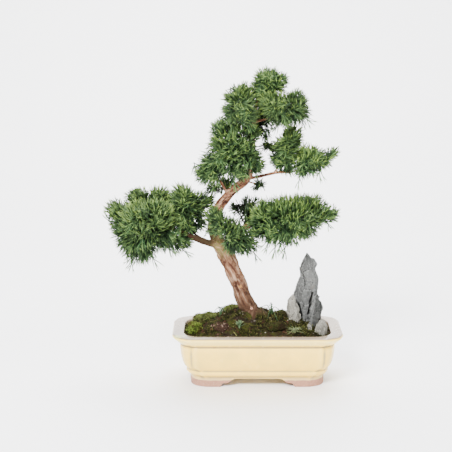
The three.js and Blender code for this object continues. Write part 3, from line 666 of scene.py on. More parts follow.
def curve_path(rows, spacing):
    """Rows of x, y, z and radius along a smooth curve through given rows."""
    rows = np.asarray(rows, float)
    middles = rows[:, :3]
    middles = np.concatenate([[2 * middles[0] - middles[1]], middles, [2 * middles[-1] - middles[-2]]])
    made = []
    for i in range(len(rows) - 1):
        before, start, end, after = middles[i:i + 4]
        gaps = [max(np.linalg.norm(b - a) ** 0.5, 1e-4) for a, b in
                ((before, start), (start, end), (end, after))]
        leave = ((start - before) / gaps[0] - (end - before) / (gaps[0] + gaps[1])
                 + (end - start) / gaps[1]) * gaps[1]
        reach = ((end - start) / gaps[1] - (after - start) / (gaps[1] + gaps[2])
                 + (after - end) / gaps[2]) * gaps[1]
        steps = max(1, round(np.linalg.norm(end - start) / spacing))
        t = (np.arange(steps) / steps)[:, None]
        place = ((2 * t ** 3 - 3 * t ** 2 + 1) * start + (t ** 3 - 2 * t ** 2 + t) * leave
                 + (3 * t ** 2 - 2 * t ** 3) * end + (t ** 3 - t ** 2) * reach)
        made.append(np.concatenate([place, (1 - t) * rows[i, 3] + t * rows[i + 1, 3]], axis=1))
    return np.concatenate(made + [rows[-1:]])


def tube(path, sides, relief=None):
    """A closed tube along rows of x, y, z and radius. Relief adds to the radius at a place."""
    middles, radii = path[:, :3], path[:, 3]
    ways = unit(np.gradient(middles, axis=0))
    side = unit(np.cross(ways[0], (0.3, 1.0, 0.2))[None])[0]
    sideways = []
    for way in ways:
        side = unit((side - way * (side @ way))[None])[0]
        sideways.append(side)
    sideways = np.array(sideways)
    upward = np.cross(ways, sideways)
    angles = 2 * math.pi * np.arange(sides) / sides
    around = sideways[:, None] * np.cos(angles)[:, None] + upward[:, None] * np.sin(angles)[:, None]
    reach = np.repeat(radii[:, None], sides, axis=1)
    if relief is not None:
        walked = np.concatenate([[0], np.cumsum(np.linalg.norm(np.diff(middles, axis=0), axis=1))])
        reach = reach + relief(walked, angles, radii)
    return capped(middles[:, None] + around * reach[..., None])


def spikes(roots, ways, lengths, radii):
    """Three-sided spikes with open feet, and how far along its spike each point is."""
    ways = unit(ways)
    side = unit(np.cross(ways, (0.31, 0.17, 0.93)))
    other = np.cross(ways, side)
    corners = [roots + radii[:, None] * (math.cos(a) * side + math.sin(a) * other)
               for a in (0, 2 * math.pi / 3, 4 * math.pi / 3)]
    points = np.stack(corners + [roots + ways * lengths[:, None]], axis=1).reshape(-1, 3)
    faces = np.array([(0, 1, 3), (1, 2, 3), (2, 0, 3), (0, 2, 1)])
    faces = (4 * np.arange(len(roots))[:, None, None] + faces).reshape(-1, 3)
    return (points, faces), np.tile([0.0, 0.0, 0.0, 1.0], len(roots))


def scattered(obj, count, seed, least_up):
    """Places where a surface faces up by more than a share, with its direction there."""
    random = np.random.default_rng(seed)
    corners = points_of(obj)[triangles_of(obj)]
    cross = np.cross(corners[:, 1] - corners[:, 0], corners[:, 2] - corners[:, 0])
    area = np.linalg.norm(cross, axis=1)
    weight = np.where(cross[:, 2] > least_up * area, area, 0)
    chosen = random.choice(len(area), count, p=weight / weight.sum())
    share = random.random((count, 2))
    share = np.where(share.sum(1, keepdims=True) > 1, 1 - share, share)
    a, b, c = corners[chosen].transpose(1, 0, 2)
    return a + (b - a) * share[:, :1] + (c - a) * share[:, 1:], unit(cross[chosen])


# Materials

def shade(colour, share):
    """A colour made darker by a share below 1, or lighter by one above it."""
    return tuple(share * c for c in colour)


class Graph:
    """A material's nodes, with short calls that add and join them."""

    def __init__(self, name, roughness, **inputs):
        self.material = bpy.data.materials.new(name)
        self.material.use_nodes = True
        self.tree = self.material.node_tree
        self.shader = self.tree.nodes["Principled BSDF"]
        self.shader.inputs["Roughness"].default_value = roughness
        for key, value in inputs.items():
            self.shader.inputs[key.replace("_", " ")].default_value = value
        self.place = self.add("ShaderNodeTexCoord").outputs["Object"]

    def add(self, kind, inputs=(), **settings):
        """A node with its settings, and its inputs as values or joined outputs."""
        made = self.tree.nodes.new(kind)
        for key, value in settings.items():
            setattr(made, key, value)
        for key, value in dict(inputs).items():
            if isinstance(value, bpy.types.NodeSocket):
                self.tree.links.new(value, made.inputs[key])
            else:
                made.inputs[key].default_value = value
        return made

    def stretched(self, scale):
        """The place on the object, stretched along the axes."""
        return self.add("ShaderNodeMapping", {"Vector": self.place, "Scale": scale}).outputs["Vector"]

    def noise(self, millimetres, detail=3.0, rough=0.55, place=None):
        """Cloudy noise with features of a size."""
        return self.add("ShaderNodeTexNoise", {
            "Vector": place or self.place, "Scale": 1000 / millimetres, "Detail": detail,
            "Roughness": rough}).outputs["Fac"]

    def cells(self, millimetres, place=None, feature="F1"):
        """Distance to the nearest of scattered points."""
        inputs = {"Vector": place or self.place, "Scale": 1000 / millimetres}
        return self.add("ShaderNodeTexVoronoi", inputs, feature=feature).outputs["Distance"]

    def ramp(self, value, *stops):
        """A colour, or a grey value, for each value between stops."""
        made = self.add("ShaderNodeValToRGB", {"Fac": value})
        elements = made.color_ramp.elements
        while len(elements) < len(stops):
            elements.new(0.5)
        for element, (position, colour) in zip(elements, stops):
            element.position = position
            element.color = (*colour, 1) if hasattr(colour, "__len__") else (colour, colour, colour, 1)
        return made.outputs["Color"]

    def mix(self, share, first, second, blend="MIX"):
        """Two colours mixed by a share."""
        made = self.add("ShaderNodeMix", data_type="RGBA", blend_type=blend)
        for index, value in ((0, share), (6, first), (7, second)):
            if isinstance(value, bpy.types.NodeSocket):
                self.tree.links.new(value, made.inputs[index])
            elif index == 0:
                made.inputs[index].default_value = value
            else:
                made.inputs[index].default_value = (*value, 1)
        return made.outputs[2]

    def math(self, operation, *values):
        """A sum, product or other result of values."""
        return self.add("ShaderNodeMath", dict(enumerate(values)), operation=operation).outputs[0]

    def painted(self, name):
        """The three values stored at the points under a name."""
        layer = self.add("ShaderNodeAttribute", attribute_name=name).outputs["Color"]
        parts = self.add("ShaderNodeSeparateColor", {"Color": layer}).outputs
        return parts["Red"], parts["Green"], parts["Blue"]

    def height(self):
        """Height above the table in metres."""
        return self.add("ShaderNodeSeparateXYZ", {"Vector": self.place}).outputs["Z"]

    def nearness(self, x, y, z, radius):
        """From 1 at a place in millimetres to 0 at a distance from it."""
        spot = tuple(np.array([x, y, z]) * MM + pot_middle())
        away = self.add("ShaderNodeVectorMath", {0: self.place, 1: spot}, operation="DISTANCE")
        return self.math("SUBTRACT", 1.0, self.math("MINIMUM", self.math(
            "DIVIDE", away.outputs["Value"], radius * MM), 1.0))

    def bump(self, value, millimetres, strength=1.0):
        """Makes the surface stand up by a height where the value is 1."""
        before = self.shader.inputs["Normal"].links
        inputs = {"Height": value, "Distance": millimetres * MM, "Strength": strength}
        if before:
            inputs["Normal"] = before[0].from_socket
        made = self.add("ShaderNodeBump", inputs)
        self.tree.links.new(made.outputs["Normal"], self.shader.inputs["Normal"])

    def finish(self, colour, roughness=None):
        """Joins the colour and the roughness to the shader and gives the material."""
        self.tree.links.new(colour, self.shader.inputs["Base Color"])
        if roughness is not None:
            self.tree.links.new(roughness, self.shader.inputs["Roughness"])
        return self.material


def glaze_material(settings):
    """Glaze thin on edges, gathered in hollows, ending above bare clay feet, with painted light and
    shade.
    """
    graph = Graph("glaze", 0.22, Specular_IOR_Level=0.3, Coat_Weight=0.1, Coat_Roughness=0.12)
    edge, rim, rim_highlight = graph.painted("form")
    cloud = graph.noise(22, 4)
    body = graph.mix(graph.ramp(cloud, (0.35, 0.0), (0.7, 0.3)), settings.glaze, settings.thick_glaze_and_shade)
    # Hollows take the thick glaze colour: gathered glaze together with painted shade
    body = graph.mix(graph.ramp(edge, (0.2, 1.0), (0.48, 0.0)), body, settings.thick_glaze_and_shade)
    # Edges are lighter: thin glaze and a painted highlight
    body = graph.mix(graph.ramp(edge, (0.54, 0.0), (0.85, 0.4)), body, (1.0, 0.74, 0.2))
    # Painted highlight: a pale stripe along the outside face of the rim
    body = graph.mix(graph.math("MULTIPLY", rim_highlight, 0.6), body, (1.0, 0.82, 0.3))
    # Painted reflection: the top of the rim, and the inside too, take a darker colour
    body = graph.mix(rim, body, settings.painted_rim_reflection)
    stain = graph.math("MULTIPLY", rim, graph.ramp(graph.noise(5, 5), (0.53, 0.0), (0.66, 0.45)))
    body = graph.mix(stain, body, (0.2, 0.135, 0.08))
    corner = graph.math("MULTIPLY", graph.nearness(*GLAZE_STAIN), graph.ramp(
        graph.noise(4, 3), (0.35, 0.3), (0.6, 1.0)))
    body = graph.mix(graph.ramp(corner, (0.1, 0.0), (0.6, 0.6)), body, (0.62, 0.68, 0.2))
    specks = graph.ramp(graph.cells(5.2), (0.045, 0.55), (0.085, 0.0))
    places = graph.ramp(graph.noise(9), (0.55, 0.0), (0.62, 1.0))
    body = graph.mix(graph.math("MULTIPLY", specks, places), body, (0.3, 0.22, 0.13))
    for place in GLAZE_NICKS:
        nick = graph.ramp(graph.nearness(*place), (0.25, 0.0), (0.6, 0.8))
        body = graph.mix(nick, body, (0.06, 0.045, 0.035))
    wavy = graph.math("MULTIPLY_ADD", graph.noise(7, 2), 0.0014, graph.height())
    bare = graph.math("LESS_THAN", wavy, settings.glaze_edge + 0.0007)
    clay = graph.mix(graph.noise(2.5, 6), settings.clay, shade(settings.clay, 0.55))
    clay = graph.mix(graph.ramp(graph.cells(1.6), (0.1, 0.5), (0.25, 0.0)), clay, (0.5, 0.36, 0.29))
    lip = graph.ramp(graph.math("SUBTRACT", wavy, settings.glaze_edge), (0.0007, 0.0), (0.0016, 1.0))
    body = graph.mix(lip, (0.5, 0.38, 0.22), body)
    graph.bump(graph.noise(9, 2), 0.16)
    graph.bump(graph.math("MULTIPLY", bare, graph.noise(0.7, 4)), 0.25)
    rough = graph.math("MULTIPLY_ADD", bare, 0.6, graph.ramp(graph.noise(5), (0.3, 0.16), (0.7, 0.3)))
    return graph.finish(graph.mix(bare, body, clay), rough)


def screen_material():
    """Matte black plastic mesh with a fine grain."""
    graph = Graph("screen", 0.6)
    graph.bump(graph.noise(0.5), 0.05)
    colour = graph.ramp(graph.noise(3), (0.3, (0.02, 0.02, 0.022)), (0.7, (0.05, 0.05, 0.052)))
    return graph.finish(colour)


def soil_material(settings):
    """Damp crumbly soil with a few grains and thin moss in patches."""
    graph = Graph("soil", 0.9, Specular_IOR_Level=0.04)
    grain, frond, _ = graph.painted("ground")
    earth = graph.mix(graph.noise(2.2, 6), settings.colour, shade(settings.colour, 3))
    film = graph.ramp(graph.noise(7, 5), (0.42, 0.0), (0.6, 0.7))
    earth = graph.mix(film, earth, (0.03, 0.034, 0.006))
    stones = graph.ramp(
        grain, (0.02, (0.012, 0.008, 0.006)), (0.4, (0.035, 0.018, 0.01)), (0.7, (0.07, 0.035, 0.02)),
        (0.88, (0.03, 0.028, 0.025)), (0.95, (0.14, 0.12, 0.09)), (0.99, (0.33, 0.3, 0.25)))
    colour = graph.mix(graph.math("GREATER_THAN", grain, 0.01), earth, stones)
    moss = graph.ramp(
        frond, (0.05, (0.012, 0.008, 0.005)), (0.3, (0.006, 0.008, 0.003)),
        (0.55, (0.026, 0.029, 0.007)), (0.8, (0.07, 0.074, 0.018)), (1.0, (0.36, 0.34, 0.14)))
    colour = graph.mix(graph.math("GREATER_THAN", frond, 0.01), colour, moss)
    graph.bump(graph.noise(0.6, 5), 0.3)
    return graph.finish(colour)


def bark_material(settings):
    """Reddish bark in tan plates over dark furrows with painted shade, orange and cracked across higher
    up.
    """
    graph = Graph("bark", 0.85, Specular_IOR_Level=0.08)
    relief, young, algae = graph.painted("bark")
    fibre = graph.add("ShaderNodeAttribute", attribute_name="fibre").outputs["Vector"]
    streaks = graph.noise(1.2, 5, 0.62, place=fibre)
    strips = graph.noise(3.2, 3, place=fibre)
    plates = graph.mix(graph.noise(6, 3), settings.ridge, shade(settings.ridge, 0.6))
    plates = graph.mix(young, plates, graph.mix(graph.noise(4), settings.young, settings.ridge))
    plates = graph.mix(graph.ramp(strips, (0.5, 0.0), (0.64, 0.85)), plates, (0.38, 0.24, 0.155))
    # Dark furrows by their depth: darker bark and painted shade
    depth = graph.math("MULTIPLY_ADD", streaks, 0.7, relief)
    colour = graph.mix(graph.ramp(depth, (0.5, 1.0), (0.8, 0.0)), plates, settings.hollow)
    colour = graph.mix(graph.ramp(strips, (0.36, 0.85), (0.44, 0.0)), colour, settings.hollow)
    cracks = graph.ramp(graph.cells(4.5, graph.stretched((0.6, 0.6, 1.5)), "DISTANCE_TO_EDGE"),
                        (0.02, 1.0), (0.07, 0.0))
    colour = graph.mix(graph.math("MULTIPLY", cracks, young), colour, settings.hollow)
    # The trunk is darker towards its foot
    wavy = graph.math("MULTIPLY_ADD", graph.noise(9, 3), 0.03, graph.height())
    lower_darkening = graph.ramp(wavy, (0.085, 0.93), (0.13, 0.0))
    lower_dark = shade(settings.ridge, 0.14)
    colour = graph.mix(lower_darkening, colour, lower_dark)
    film = graph.math("MULTIPLY", algae, graph.ramp(graph.noise(2.2, 5), (0.38, 0.15), (0.62, 1.0)))
    colour = graph.mix(film, colour, settings.algae)
    # Moss and painted shade darken the trunk's foot
    foot = graph.math("MULTIPLY", graph.ramp(graph.nearness(*MOSS_AND_SHADE_AT_FOOT), (0.15, 0.0), (0.5, 1.0)),
                      graph.ramp(graph.noise(2.5, 5), (0.35, 0.4), (0.6, 1.0)))
    film = graph.mix(graph.noise(3), (0.012, 0.009, 0.005), (0.035, 0.036, 0.01))
    colour = graph.mix(foot, colour, film)
    shadow = graph.ramp(graph.nearness(*BRANCH_SHADOW), (0.1, 0.0), (0.4, 0.9))
    colour = graph.mix(shadow, colour, shade(settings.ridge, 0.09))
    for place, tint in BARK_SCARS:
        near = graph.math("MULTIPLY_ADD", graph.noise(1.3, 4), 2.4, graph.nearness(*place))
        near = graph.math("MULTIPLY", near, 0.5)
        scar = graph.ramp(near, (0.8, 0.0), (0.93, 0.75))
        colour = graph.mix(scar, colour, tint)
    graph.bump(streaks, 0.5, 0.8)
    graph.bump(graph.noise(0.5, 4), 0.12)
    return graph.finish(colour)


def slate_material(name, tint):
    """Split grey slate with pale rubbed edges and patches, painted shade in cracks, a painted lit side
    and a little rust.
    """
    graph = Graph(name, 0.7, Specular_IOR_Level=0.1)
    edge, facet, tone = graph.painted("split")
    body = graph.mix(graph.noise(6, 6, 0.65), shade(tint, 0.55), shade(tint, 1.4))
    body = graph.mix(graph.ramp(facet, (0.2, 0.0), (0.9, 0.55)), body, shade(tint, 1.9))
    patch = graph.ramp(graph.noise(3.4, 6, 0.7), (0.54, 0.0), (0.64, 0.75))
    body = graph.mix(patch, body, shade(tint, 2.3))
    body = graph.mix(graph.ramp(graph.noise(9, 4), (0.6, 0.0), (0.76, 0.35)), body, (0.13, 0.09, 0.05))
    body = graph.mix(graph.ramp(edge, (0.56, 0.0), (0.85, 0.75)), body, shade(tint, 2.8))
    # Creases and hollows are dark: painted shade
    body = graph.mix(graph.ramp(edge, (0.16, 0.9), (0.44, 0.0)), body, (0.012, 0.012, 0.011))
    body = graph.mix(tone, graph.mix(1.0, body, (0.16, 0.16, 0.15), "MULTIPLY"), body)
    graph.bump(graph.noise(2.2, 7, 0.68, place=graph.stretched((1.5, 1.0, 0.5))), 0.9, 0.9)
    graph.bump(graph.noise(0.6, 4), 0.18)
    return graph.finish(body)


def moss_material(name, tint):
    """Moss that is dark at its feet and light at its tips, in speckles and patches."""
    graph = Graph(name, 0.9, Specular_IOR_Level=0.04)
    along, tone, _ = graph.painted("frond")
    low = shade(tint, 0.1)
    high = graph.ramp(
        tone, (0.05, (0.03, 0.018, 0.011)), (0.25, shade(tint, 0.4)), (0.5, tint),
        (0.75, shade(tint, 2.2)), (1.0, shade(tint, 4)))
    brown = graph.ramp(graph.noise(6, 4), (0.56, 0.0), (0.66, 0.8))
    high = graph.mix(brown, high, (0.06, 0.032, 0.012))
    return graph.finish(graph.mix(graph.ramp(along, (0.1, 0.0), (0.9, 1.0)), low, high))


def clay_material(settings):
    """Crumbly brown clay with pale crusts."""
    graph = Graph("clay", 0.95, Specular_IOR_Level=0.05)
    body = graph.mix(graph.noise(3, 6), shade(settings.clay, 0.45), shade(settings.clay, 1.7))
    crust = graph.ramp(graph.noise(1.8, 5), (0.56, 0.0), (0.62, 1.0))
    places = graph.ramp(graph.noise(8), (0.45, 0.0), (0.55, 1.0))
    body = graph.mix(graph.math("MULTIPLY", crust, places), body, (0.42, 0.3, 0.22))
    graph.bump(graph.noise(1.2, 6), 0.7)
    return graph.finish(body)


def weed_material(name, tint):
    """Small leaves, lighter along the middle and at the tip."""
    graph = Graph(name, 0.55, Specular_IOR_Level=0.25)
    along, chance, straw = graph.painted("leaf")
    body = graph.mix(along, shade(tint, 0.5), shade(tint, 1.25))
    body = graph.mix(graph.ramp(chance, (0.7, 0.0), (1.0, 0.6)), body, (0.12, 0.1, 0.03))
    body = graph.mix(straw, body, (0.34, 0.34, 0.13))
    graph.bump(graph.noise(0.5), 0.06)
    return graph.finish(graph.mix(graph.noise(2), body, shade(tint, 0.8)))


def foliage_material(name, settings, light):
    """Scale-leaf threads from a brown foot through dark green to yellow-green tips, with painted light
    and shade.
    """
    graph = Graph(name, 0.5, Specular_IOR_Level=0.15)
    along, chance, depth = graph.painted("spray")
    # Pads in shade are painted darker
    dim = 0.4 + 0.6 * light
    mottled = graph.math("MULTIPLY_ADD", graph.math("SUBTRACT", graph.noise(1.3, 2), 0.5), 0.25, along)
    colour = graph.ramp(
        mottled, (0.03, tuple(settings.twig)), (0.12, tuple(settings.shade)),
        (0.38, shade(settings.leaf, dim)),
        (0.78, tuple(dim * (0.7 * a + 0.3 * b) for a, b in zip(settings.leaf, settings.tip))),
        (1.0, shade(settings.tip, dim)))
    # Painted light: sprays that face down turn darker and bluish, those that face up lighter and golden,
    # partly at random
    shaded_blue = graph.mix(1.0, colour, (0.36, 0.56, 0.62), "MULTIPLY")
    lit_gold = graph.mix(1.0, colour, (1.5, 1.35, 0.85), "MULTIPLY")
    tinted = graph.mix(graph.ramp(chance, (0.05, 0.9), (0.45, 0.0)), colour, shaded_blue)
    tinted = graph.mix(graph.ramp(chance, (0.6, 0.0), (0.97, 1.0)), tinted, lit_gold)
    tinted = graph.mix(graph.ramp(chance, (0.993, 0.0), (0.995, 1.0)), tinted, (0.075, 0.045, 0.022))
    # Painted shade: threads deep inside a pad are darkened
    inner = graph.mix(1.0, tinted, (0.22, 0.27, 0.28), "MULTIPLY")
    graph.bump(graph.cells(0.9), 0.12, 0.7)
    return graph.finish(graph.mix(depth, inner, tinted))


def floor_material(settings):
    """Plain pale floor and wall with a faint unevenness."""
    graph = Graph("floor", 0.55)
    dull = shade(settings.floor, 0.97)
    return graph.finish(graph.mix(graph.noise(260, 2), settings.floor, dull))


def shared(slot, maker, tint):
    """The finish of a slot, made once and used by all its pieces."""
    name = f"{slot}_natural"
    return bpy.data.materials.get(name) or maker(name, tuple(tint))


def carry(obj, node, material):
    """Lets a piece stand for a node, with its body, finish and material."""
    obj.data.materials.clear()
    obj.data.materials.append(material)
    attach(obj, "root")
    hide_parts(node)


# Pot

def softened(rows, times):
    """Rows with their corners cut, so that edges come out round."""
    rows = np.asarray(rows, float)
    for _ in range(times):
        here, after = rows[:-1], rows[1:]
        inner = np.stack([0.75 * here + 0.25 * after, 0.25 * here + 0.75 * after], axis=1)
        rows = np.concatenate([rows[:1], inner.reshape(-1, rows.shape[1])[1:-1], rows[-1:]])
    return rows


def pot_plan(inset, height, corner, step):
    """Points round the pot at one level: straight sides a soft step proud of round corners."""
    length, width = POT_HALF[0] - inset, POT_HALF[1] - inset
    deep = CORNER_STRETCH * corner
    angles = math.pi / 2 * np.arange(CORNER_STEPS + 1) / CORNER_STEPS
    arc = np.stack([length - corner + (corner - SHORT_SIDE_STEP * step) * np.cos(angles),
                    width - deep + (deep - step) * np.sin(angles)], axis=1)
    along = np.linspace(1, -1, LONG_STEPS + 1)[:, None] * (length - corner, 0) + (0, width)
    down = np.linspace(1, -1, SHORT_STEPS + 1)[:, None] * (0, width - deep) + (-length, 0)
    half = np.concatenate([arc, along, arc[::-1] * (-1, 1), down])
    ring = np.concatenate([half, -half])
    for _ in range(PLAN_SOFTENING):
        ring = 0.5 * ring + 0.25 * (np.roll(ring, 1, axis=0) + np.roll(ring, -1, axis=0))
    return np.column_stack([ring, np.full(len(ring), height)])


def arch_height(ring, inset):
    """How high the gap between the feet is at each point of a ring of the foot."""
    across, along = np.abs(ring[:, 0]), np.abs(ring[:, 1])
    on_long = along > POT_HALF[1] - inset - SIDE_DEPTH
    on_short = across > POT_HALF[0] - inset - SIDE_DEPTH
    beside = np.where(on_short, np.interp(along, *SHORT_GAP), 0)
    return np.where(on_long, np.interp(across, *LONG_GAP), beside)


def foot_rings(plan, shares):
    """Rings of a foot wall from its lower edge, which the gaps lift, to its top."""
    ring = pot_plan(plan[0], 0, *plan[1:])
    lift = arch_height(ring, plan[0])
    return [np.column_stack([ring[:, :2], lift + share * (FOOT_TOP - lift)]) for share in shares]


def pot_rings():
    """Rings of points from the middle of the underside, round foot and walls, to the inside."""
    under = pot_plan(FOOT_INSIDE[0], FOOT_TOP, *FOOT_INSIDE[1:])
    ceiling = [under * (share, share, 1) for share in (0.15, 0.4, 0.6, 0.8, 0.92)]
    shares = (0, 0.06, 0.15, 0.4, 0.7, 1)
    inner, outer = foot_rings(FOOT_INSIDE, shares), foot_rings(FOOT_OUTSIDE, shares)
    inner[0] = inner[0] * 0.985 + outer[0] * 0.015
    edge = [inner[0] * (1 - t) + outer[0] * t for t in (0.06, 0.35, 0.65, 0.94)]
    walls = [pot_plan(*row) for row in softened(POT_ROWS, 2)]
    floor = [walls[-1] * (share, share, 1) for share in (0.85, 0.6, 0.35, 0.12)]
    return np.array(ceiling + inner[::-1] + edge + outer + walls[1:] + floor)


def drill_drains(obj):
    """Cuts the drain holes through the floor of the pot."""
    for x in (-DRAIN_X, DRAIN_X):
        post = np.array([(x, 0, height, DRAIN_RADIUS) for height in DRAIN_HEIGHTS], float)
        cutter = new_object("drain", *tube(post, DRAIN_SIDES))
        modifier = obj.modifiers.new("Drain", "BOOLEAN")
        modifier.operation = "DIFFERENCE"
        modifier.solver = "MANIFOLD"
        modifier.object = cutter
        applied(obj)
        bpy.data.objects.remove(cutter)


def paint_glaze(obj):
    """Stores thin and thick glaze with painted shade, the rim with the inside, and painted highlight
    below it.
    """
    points, normals = points_of(obj), normals_of(obj)
    across, along, height = np.abs(points).T
    (line_x, line_y), width = CORNER_LINE, CORNER_LINE_WIDTH
    # Painted shade lines: beside the corners, in the cove under the rim and under its lip
    beside = np.exp(-((across - line_x) / width) ** 2) * (along > line_y + 4)
    beside += np.exp(-((along - line_y) / width) ** 2) * (across > line_x + 4)
    beside = beside * smoothstep(height, *CORNER_LINE_ENDS[0]) * smoothstep(height, *CORNER_LINE_ENDS[1])
    level = np.exp(-((height - COVE_HEIGHT) / COVE_WIDTH) ** 2)
    level = level + 0.7 * np.exp(-((height - LIP_HEIGHT) / LIP_WIDTH) ** 2)
    # Convexity gives thin glaze on edges and thick glaze with painted shade in hollows; the lines darken
    # it more
    form = 0.5 + 4.2 * convexity(obj) - 0.28 * np.maximum(beside, level)
    # The rim's top, darkened in the material as a painted reflection, and the inside
    rim = smoothstep(height, *RIM_START) * smoothstep(normals[:, 2], 0.3, 0.7)
    inside = ((points[:, :2] * normals[:, :2]).sum(1) < 0) & (height > 12)
    # Painted highlight on the outside face of the rim, below its top
    rim_highlight = smoothstep(height, *RIM_HIGHLIGHT_ENDS[0]) * smoothstep(height, *RIM_HIGHLIGHT_ENDS[1]) * (1 - inside)
    paint(obj, "form", np.clip(form, 0, 1), np.maximum(rim, inside) * 0.9, rim_highlight)


def make_pot(settings):
    """The pot, with round edges, four feet and two drain holes."""
    obj = new_object("pot_glazed", *capped(pot_rings()))
    drill_drains(obj)
    paint_glaze(obj)
    carry(obj, "pot", glaze_material(settings))


# Soil

def ground(x, y):
    """Height of the soil's surface."""
    edge = np.minimum(1, ((x / SOIL_HALF[0]) ** 4 + (y / SOIL_HALF[1]) ** 4) ** 0.25)
    swell = SOIL_SWELL * (1 - 0.4 * smoothstep(x, 20, 60))
    swell = swell + 0.7 * np.sin(0.31 * x + 0.5) * np.cos(0.37 * y) + 0.5 * np.sin(0.19 * x - 0.43 * y)
    height, (middle_x, middle_y), (half_x, half_y) = HEAP
    swell = swell + height * np.exp(-((x - middle_x) / half_x) ** 2 - ((y - middle_y) / half_y) ** 2)
    return SOIL_EDGE + swell * (1 - edge ** 2.4)


def crumbs(random, count, size):
    """Small irregular grains that lie on the soil, and a number for each grain's colour."""
    corners = unit(np.array([(a, b, c) for a, b, c in itertools.product((-1, 1), repeat=3)], float))
    faces = np.array([(0, 1, 3), (0, 3, 2), (4, 6, 7), (4, 7, 5), (0, 4, 5), (0, 5, 1),
                      (2, 3, 7), (2, 7, 6), (0, 2, 6), (0, 6, 4), (1, 5, 7), (1, 7, 3)])
    x = random.uniform(-SOIL_HALF[0], SOIL_HALF[0], 4 * count)
    y = random.uniform(-SOIL_HALF[1], SOIL_HALF[1], 4 * count)
    inside = ((x / SOIL_HALF[0]) ** 4 + (y / SOIL_HALF[1]) ** 4) ** 0.25 < 0.94
    x, y = x[inside][:count], y[inside][:count]
    radius = size * random.lognormal(0, 0.35, len(x))
    middles = np.column_stack([x, y, ground(x, y) + 0.25 * radius])
    wobble = corners + random.uniform(-0.35, 0.35, (len(x), 8, 3))
    points = middles[:, None] + wobble * radius[:, None, None] * (1, 1, 0.75)
    chance = np.repeat(random.uniform(0.02, 1, len(x)), 8)
    faces = (8 * np.arange(len(x))[:, None, None] + faces).reshape(-1, 3)
    return (points.reshape(-1, 3), faces), chance


def make_stalks(random, count):
    """Thin stalks of moss and grass that arch over the soil, and a tone for each point."""
    shells, tones = [], []
    for _ in range(count):
        spin, turn = random.uniform(0, 2 * math.pi, 2)
        share = 0.9 * math.sqrt(random.random())
        x, y = SOIL_HALF[0] * share * math.cos(spin), SOIL_HALF[1] * share * math.sin(spin)
        turn = math.pi * round(turn / math.pi) + random.normal(0, 0.5)
        reach = random.uniform(5, 13) * (1 - 0.5 * share)
        rise = random.uniform(0.3, 1.6)
        rows = []
        for t in (0, 0.5, 1):
            place = x + reach * t * math.cos(turn), y + reach * t * math.sin(turn)
            height = float(ground(*place)) - 0.5 + 4 * rise * t * (1.1 - t)
            rows.append((*place, height, 0.26 - 0.1 * t))
        points, faces = tube(curve_path(rows, 1.5), 3)
        shells.append((points, faces))
        tones.append(np.full(len(points), random.uniform(0.2, 0.95)))
    return merged(shells), np.concatenate(tones)


def earth_shell():
    """The soil's closed skin, with a rough and swelling top."""
    rows = [pot_plan(*row) for row in SOIL_ROWS]
    edge = rows[-1]
    mound = []
    for share in np.linspace(0.985, 0.02, SOIL_RINGS):
        x, y = share * edge[:, 0], share * edge[:, 1]
        flat = np.column_stack([x, y, np.zeros(len(x))])
        rough = 0.9 * noise(flat, 7, 3) + 0.8 * noise(flat, 3.1, 1) + 0.4 * noise(flat, 1.5, 2)
        mound.append(np.column_stack([x, y, ground(x, y) + rough * min(1, 12 * (1 - share))]))
    return capped(np.array(rows + mound))


def thin_moss(random, earth, count):
    """Short fronds in patches over the soil, fewest at the trunk's foot, and their tones."""
    surface = new_object("surface", *earth)
    roots, ways = scattered(surface, count, SEEDS["soil_moss"], 0.6)
    bpy.data.objects.remove(surface)
    patch = noise(roots * (1, 1, 0), 11, 4) + 0.7 * noise(roots * (1, 1, 0), 4, 6)
    foot = np.hypot(roots[:, 0] - BARE_PLACE[0], roots[:, 1] - BARE_PLACE[1])
    kept = (patch > 0.5 * smoothstep(foot, *BARE_REACH) - 0.05) & (roots[:, 2] > SOIL_EDGE + 0.2)
    roots, ways, patch = roots[kept], ways[kept], patch[kept]
    ways = ways + random.normal(0, 1.0, ways.shape)
    height = random.uniform(2, 5.5, len(roots)) * (1 + 0.3 * patch)
    moss, along = spikes(roots - 0.3 * ways, ways, height, random.uniform(0.3, 0.55, len(roots)))
    tone = np.repeat(np.clip(0.4 + 0.2 * patch + random.normal(0, 0.34, len(roots)), 0.05, 1), 4)
    return moss, tone * (0.5 + 0.5 * along)


def make_soil(settings):
    """Soil up to its mound, with loose grains, thin moss and stalks."""
    random = np.random.default_rng(SEEDS["soil"])
    earth = earth_shell()
    grains, chance = crumbs(random, settings.grains, settings.grain_size / MM)
    moss, tone = thin_moss(random, earth, settings.fronds)
    stalks, straw = make_stalks(random, settings.stalks)
    obj = new_object("soil_mound", *merged([earth, grains, moss, stalks]))
    bare = np.zeros(len(earth[0]))
    grain = np.concatenate([bare, chance, 0 * tone, 0 * straw])
    frond = np.concatenate([bare, 0 * chance, tone, straw])
    paint(obj, "ground", grain, frond)
    carry(obj, "soil", soil_material(settings))


# Trunk and branches

def branch_rows():
    """Every stretch of wood as rows of x, y, z and radius, the trunk first."""
    rows = [TRUNK]
    for degrees, reach in ROOTS:
        x, y = math.cos(math.radians(degrees)), math.sin(math.radians(degrees))
        rows.append([(reach * share * x, reach * share * y, height, radius)
                     for share, height, radius in ROOT_WAY])
    for thick, thin, way in BRANCHES:
        radii = np.linspace(thick, thin, len(way))
        rows.append([(*point, radius) for point, radius in zip(way, radii)])
    return rows


